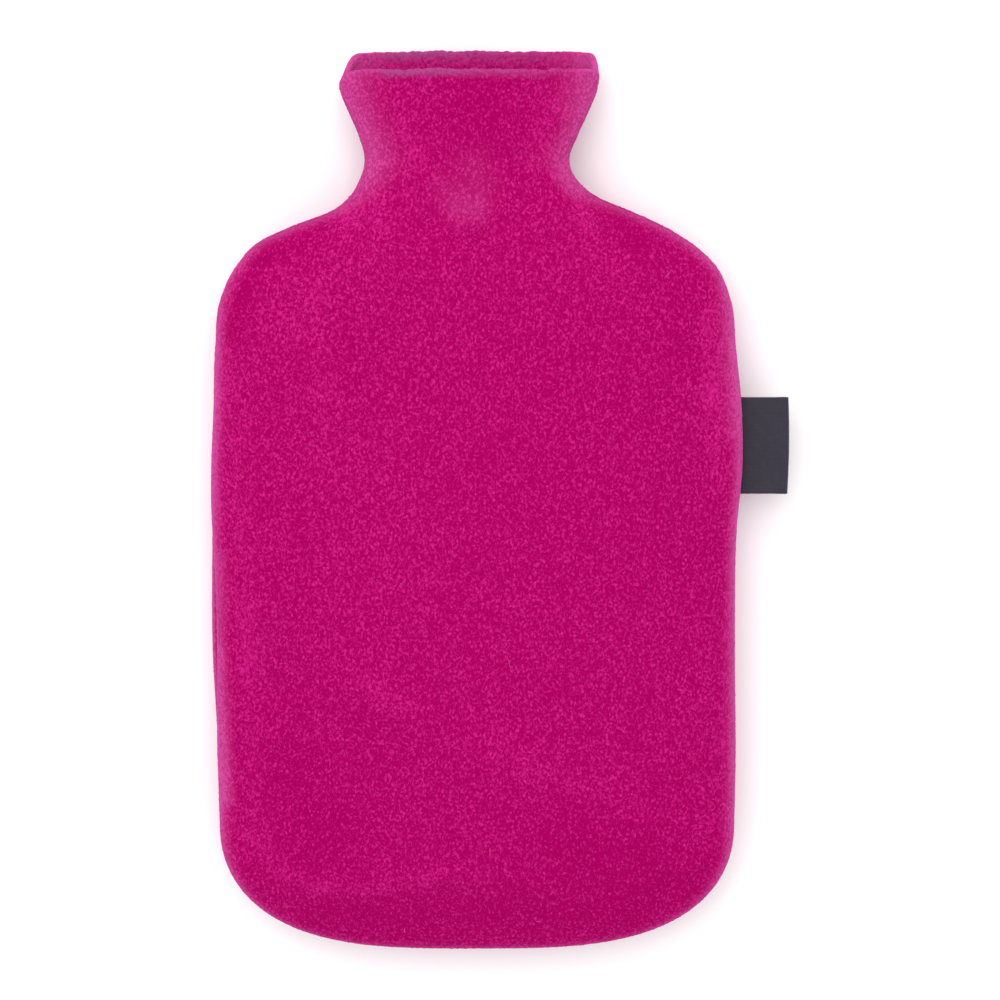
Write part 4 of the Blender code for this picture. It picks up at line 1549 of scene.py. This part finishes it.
def fibres(places, normals, radius, material, random):
    """Thin fibres that leave the pile and come back to it: half a sine upwards, bent to the side by a
    sine."""
    count = len(places)
    along, across = tangents(normals, random.uniform(-math.pi, math.pi, count))
    half = random.uniform(*FIBRE_HALVES, count) * MM
    sway = random.uniform(-FIBRE_SWAY, FIBRE_SWAY, count) * MM
    s = np.linspace(-1, 1, FIBRE_POINTS)[None, :, None]
    path = places[:, None] + half[:, None, None] * s * along[:, None]
    path = path + sway[:, None, None] * np.sin(s * math.pi * FIBRE_SWAY_TURN) * across[:, None]
    lift = FIBRE_LIFT * np.cos(s * math.pi / 2)
    path = path + lift * normals[:, None]
    radii = np.full((count, FIBRE_POINTS - 2, 2), radius)
    points, groups, _ = tubes(path, radii, across, normals, FIBRE_SIDES)
    piece = new_piece("loose_fibres", points, groups, material, {})
    turn_outwards(piece)
    return piece


class COVER_OT_studio(bpy.types.Operator):
    """Makes the floor, the light and the camera"""

    bl_idname = "cover.studio"
    bl_label = "Studio"

    def execute(self, context):
        settings = context.scene.cover_studio
        add_floor(settings)
        add_light(settings)
        add_camera(settings)
        context.scene.view_settings.view_transform = "Standard"
        return {"FINISHED"}


FLOOR_HALF = 6.0
LAMP_SIZE = 1.6
LAMP_PLACE = (-0.25, 0.9, 1.7)


def add_floor(settings):
    """A large pale floor under the cover."""
    corners = FLOOR_HALF * np.array(((-1, -1, 0), (1, -1, 0), (1, 1, 0), (-1, 1, 0)))
    material, shader = bare_material("pale floor", 0.9)
    shader.inputs["Base Color"].default_value = settings.floor_colour
    floor = new_piece("floor", corners, [np.array([[0, 1, 2, 3]])], material, {})


def add_light(settings):
    """Even white light all round, and one large soft lamp above the mouth."""
    world = bpy.data.worlds.new("studio")
    world.use_nodes = True
    world.node_tree.nodes["Background"].inputs["Color"].default_value = (1.0, 1.0, 1.0, 1.0)
    world.node_tree.nodes["Background"].inputs["Strength"].default_value = settings.sky
    bpy.context.scene.world = world
    lamp = bpy.data.lights.new("soft lamp", "AREA")
    lamp.shape = "SQUARE"
    lamp.size = LAMP_SIZE
    lamp.energy = settings.lamp_power
    holder = bpy.data.objects.new("soft lamp", lamp)
    holder.location = LAMP_PLACE
    to_cover = -np.array(LAMP_PLACE)
    across = math.hypot(to_cover[0], to_cover[1])
    turn = math.atan2(to_cover[1], to_cover[0]) - math.pi / 2
    holder.rotation_euler = (math.atan2(across, -to_cover[2]), 0, turn)
    bpy.context.scene.collection.objects.link(holder)


def add_camera(settings):
    """The camera, leaning from straight above towards the mouth, at a distance where the view has its
    width."""
    camera = bpy.data.cameras.new("camera")
    camera.lens = camera.sensor_width * settings.camera_distance / settings.view_width
    holder = bpy.data.objects.new("camera", camera)
    tilt = settings.camera_tilt
    away = np.array((0.0, math.sin(tilt), math.cos(tilt))) * settings.camera_distance
    holder.location = np.array(settings.aim) + away
    holder.rotation_euler = (-tilt, 0.0, 0.0)
    bpy.context.scene.collection.objects.link(holder)
    bpy.context.scene.camera = holder


class COVER_PT_panel(bpy.types.Panel):
    """Lists what makes the cover"""

    bl_idname = "COVER_PT_panel"
    bl_label = "Hot water bottle cover"
    bl_space_type = "VIEW_3D"
    bl_region_type = "UI"
    bl_category = "Cover"

    def draw(self, context):
        for operator in OPERATORS:
            self.layout.operator(operator.bl_idname)
        for holder in ("cover_fleece", "cover_trim", "cover_studio"):
            box = self.layout.box()
            group = getattr(context.scene, holder)
            for name in group.__annotations__:
                box.prop(group, name)


OPERATORS = (
    COVER_OT_fleece,
    COVER_OT_curls,
    COVER_OT_ribbon,
    COVER_OT_stitches,
    COVER_OT_fibres,
    COVER_OT_studio,
)
CLASSES = (FleeceSettings, TrimSettings, StudioSettings, *OPERATORS, COVER_PT_panel)


def register():
    for cls in CLASSES:
        bpy.utils.register_class(cls)
    bpy.types.Scene.cover_fleece = bpy.props.PointerProperty(type=FleeceSettings)
    bpy.types.Scene.cover_trim = bpy.props.PointerProperty(type=TrimSettings)
    bpy.types.Scene.cover_studio = bpy.props.PointerProperty(type=StudioSettings)


def unregister():
    del bpy.types.Scene.cover_fleece, bpy.types.Scene.cover_trim, bpy.types.Scene.cover_studio
    for cls in reversed(CLASSES):
        bpy.utils.unregister_class(cls)


def main():
    register()
    bpy.ops.cover.fleece()
    bpy.ops.cover.curls()
    bpy.ops.cover.ribbon()
    bpy.ops.cover.stitches()
    bpy.ops.cover.fibres()
    bpy.ops.cover.studio()


if __name__ == "__main__":
    main()
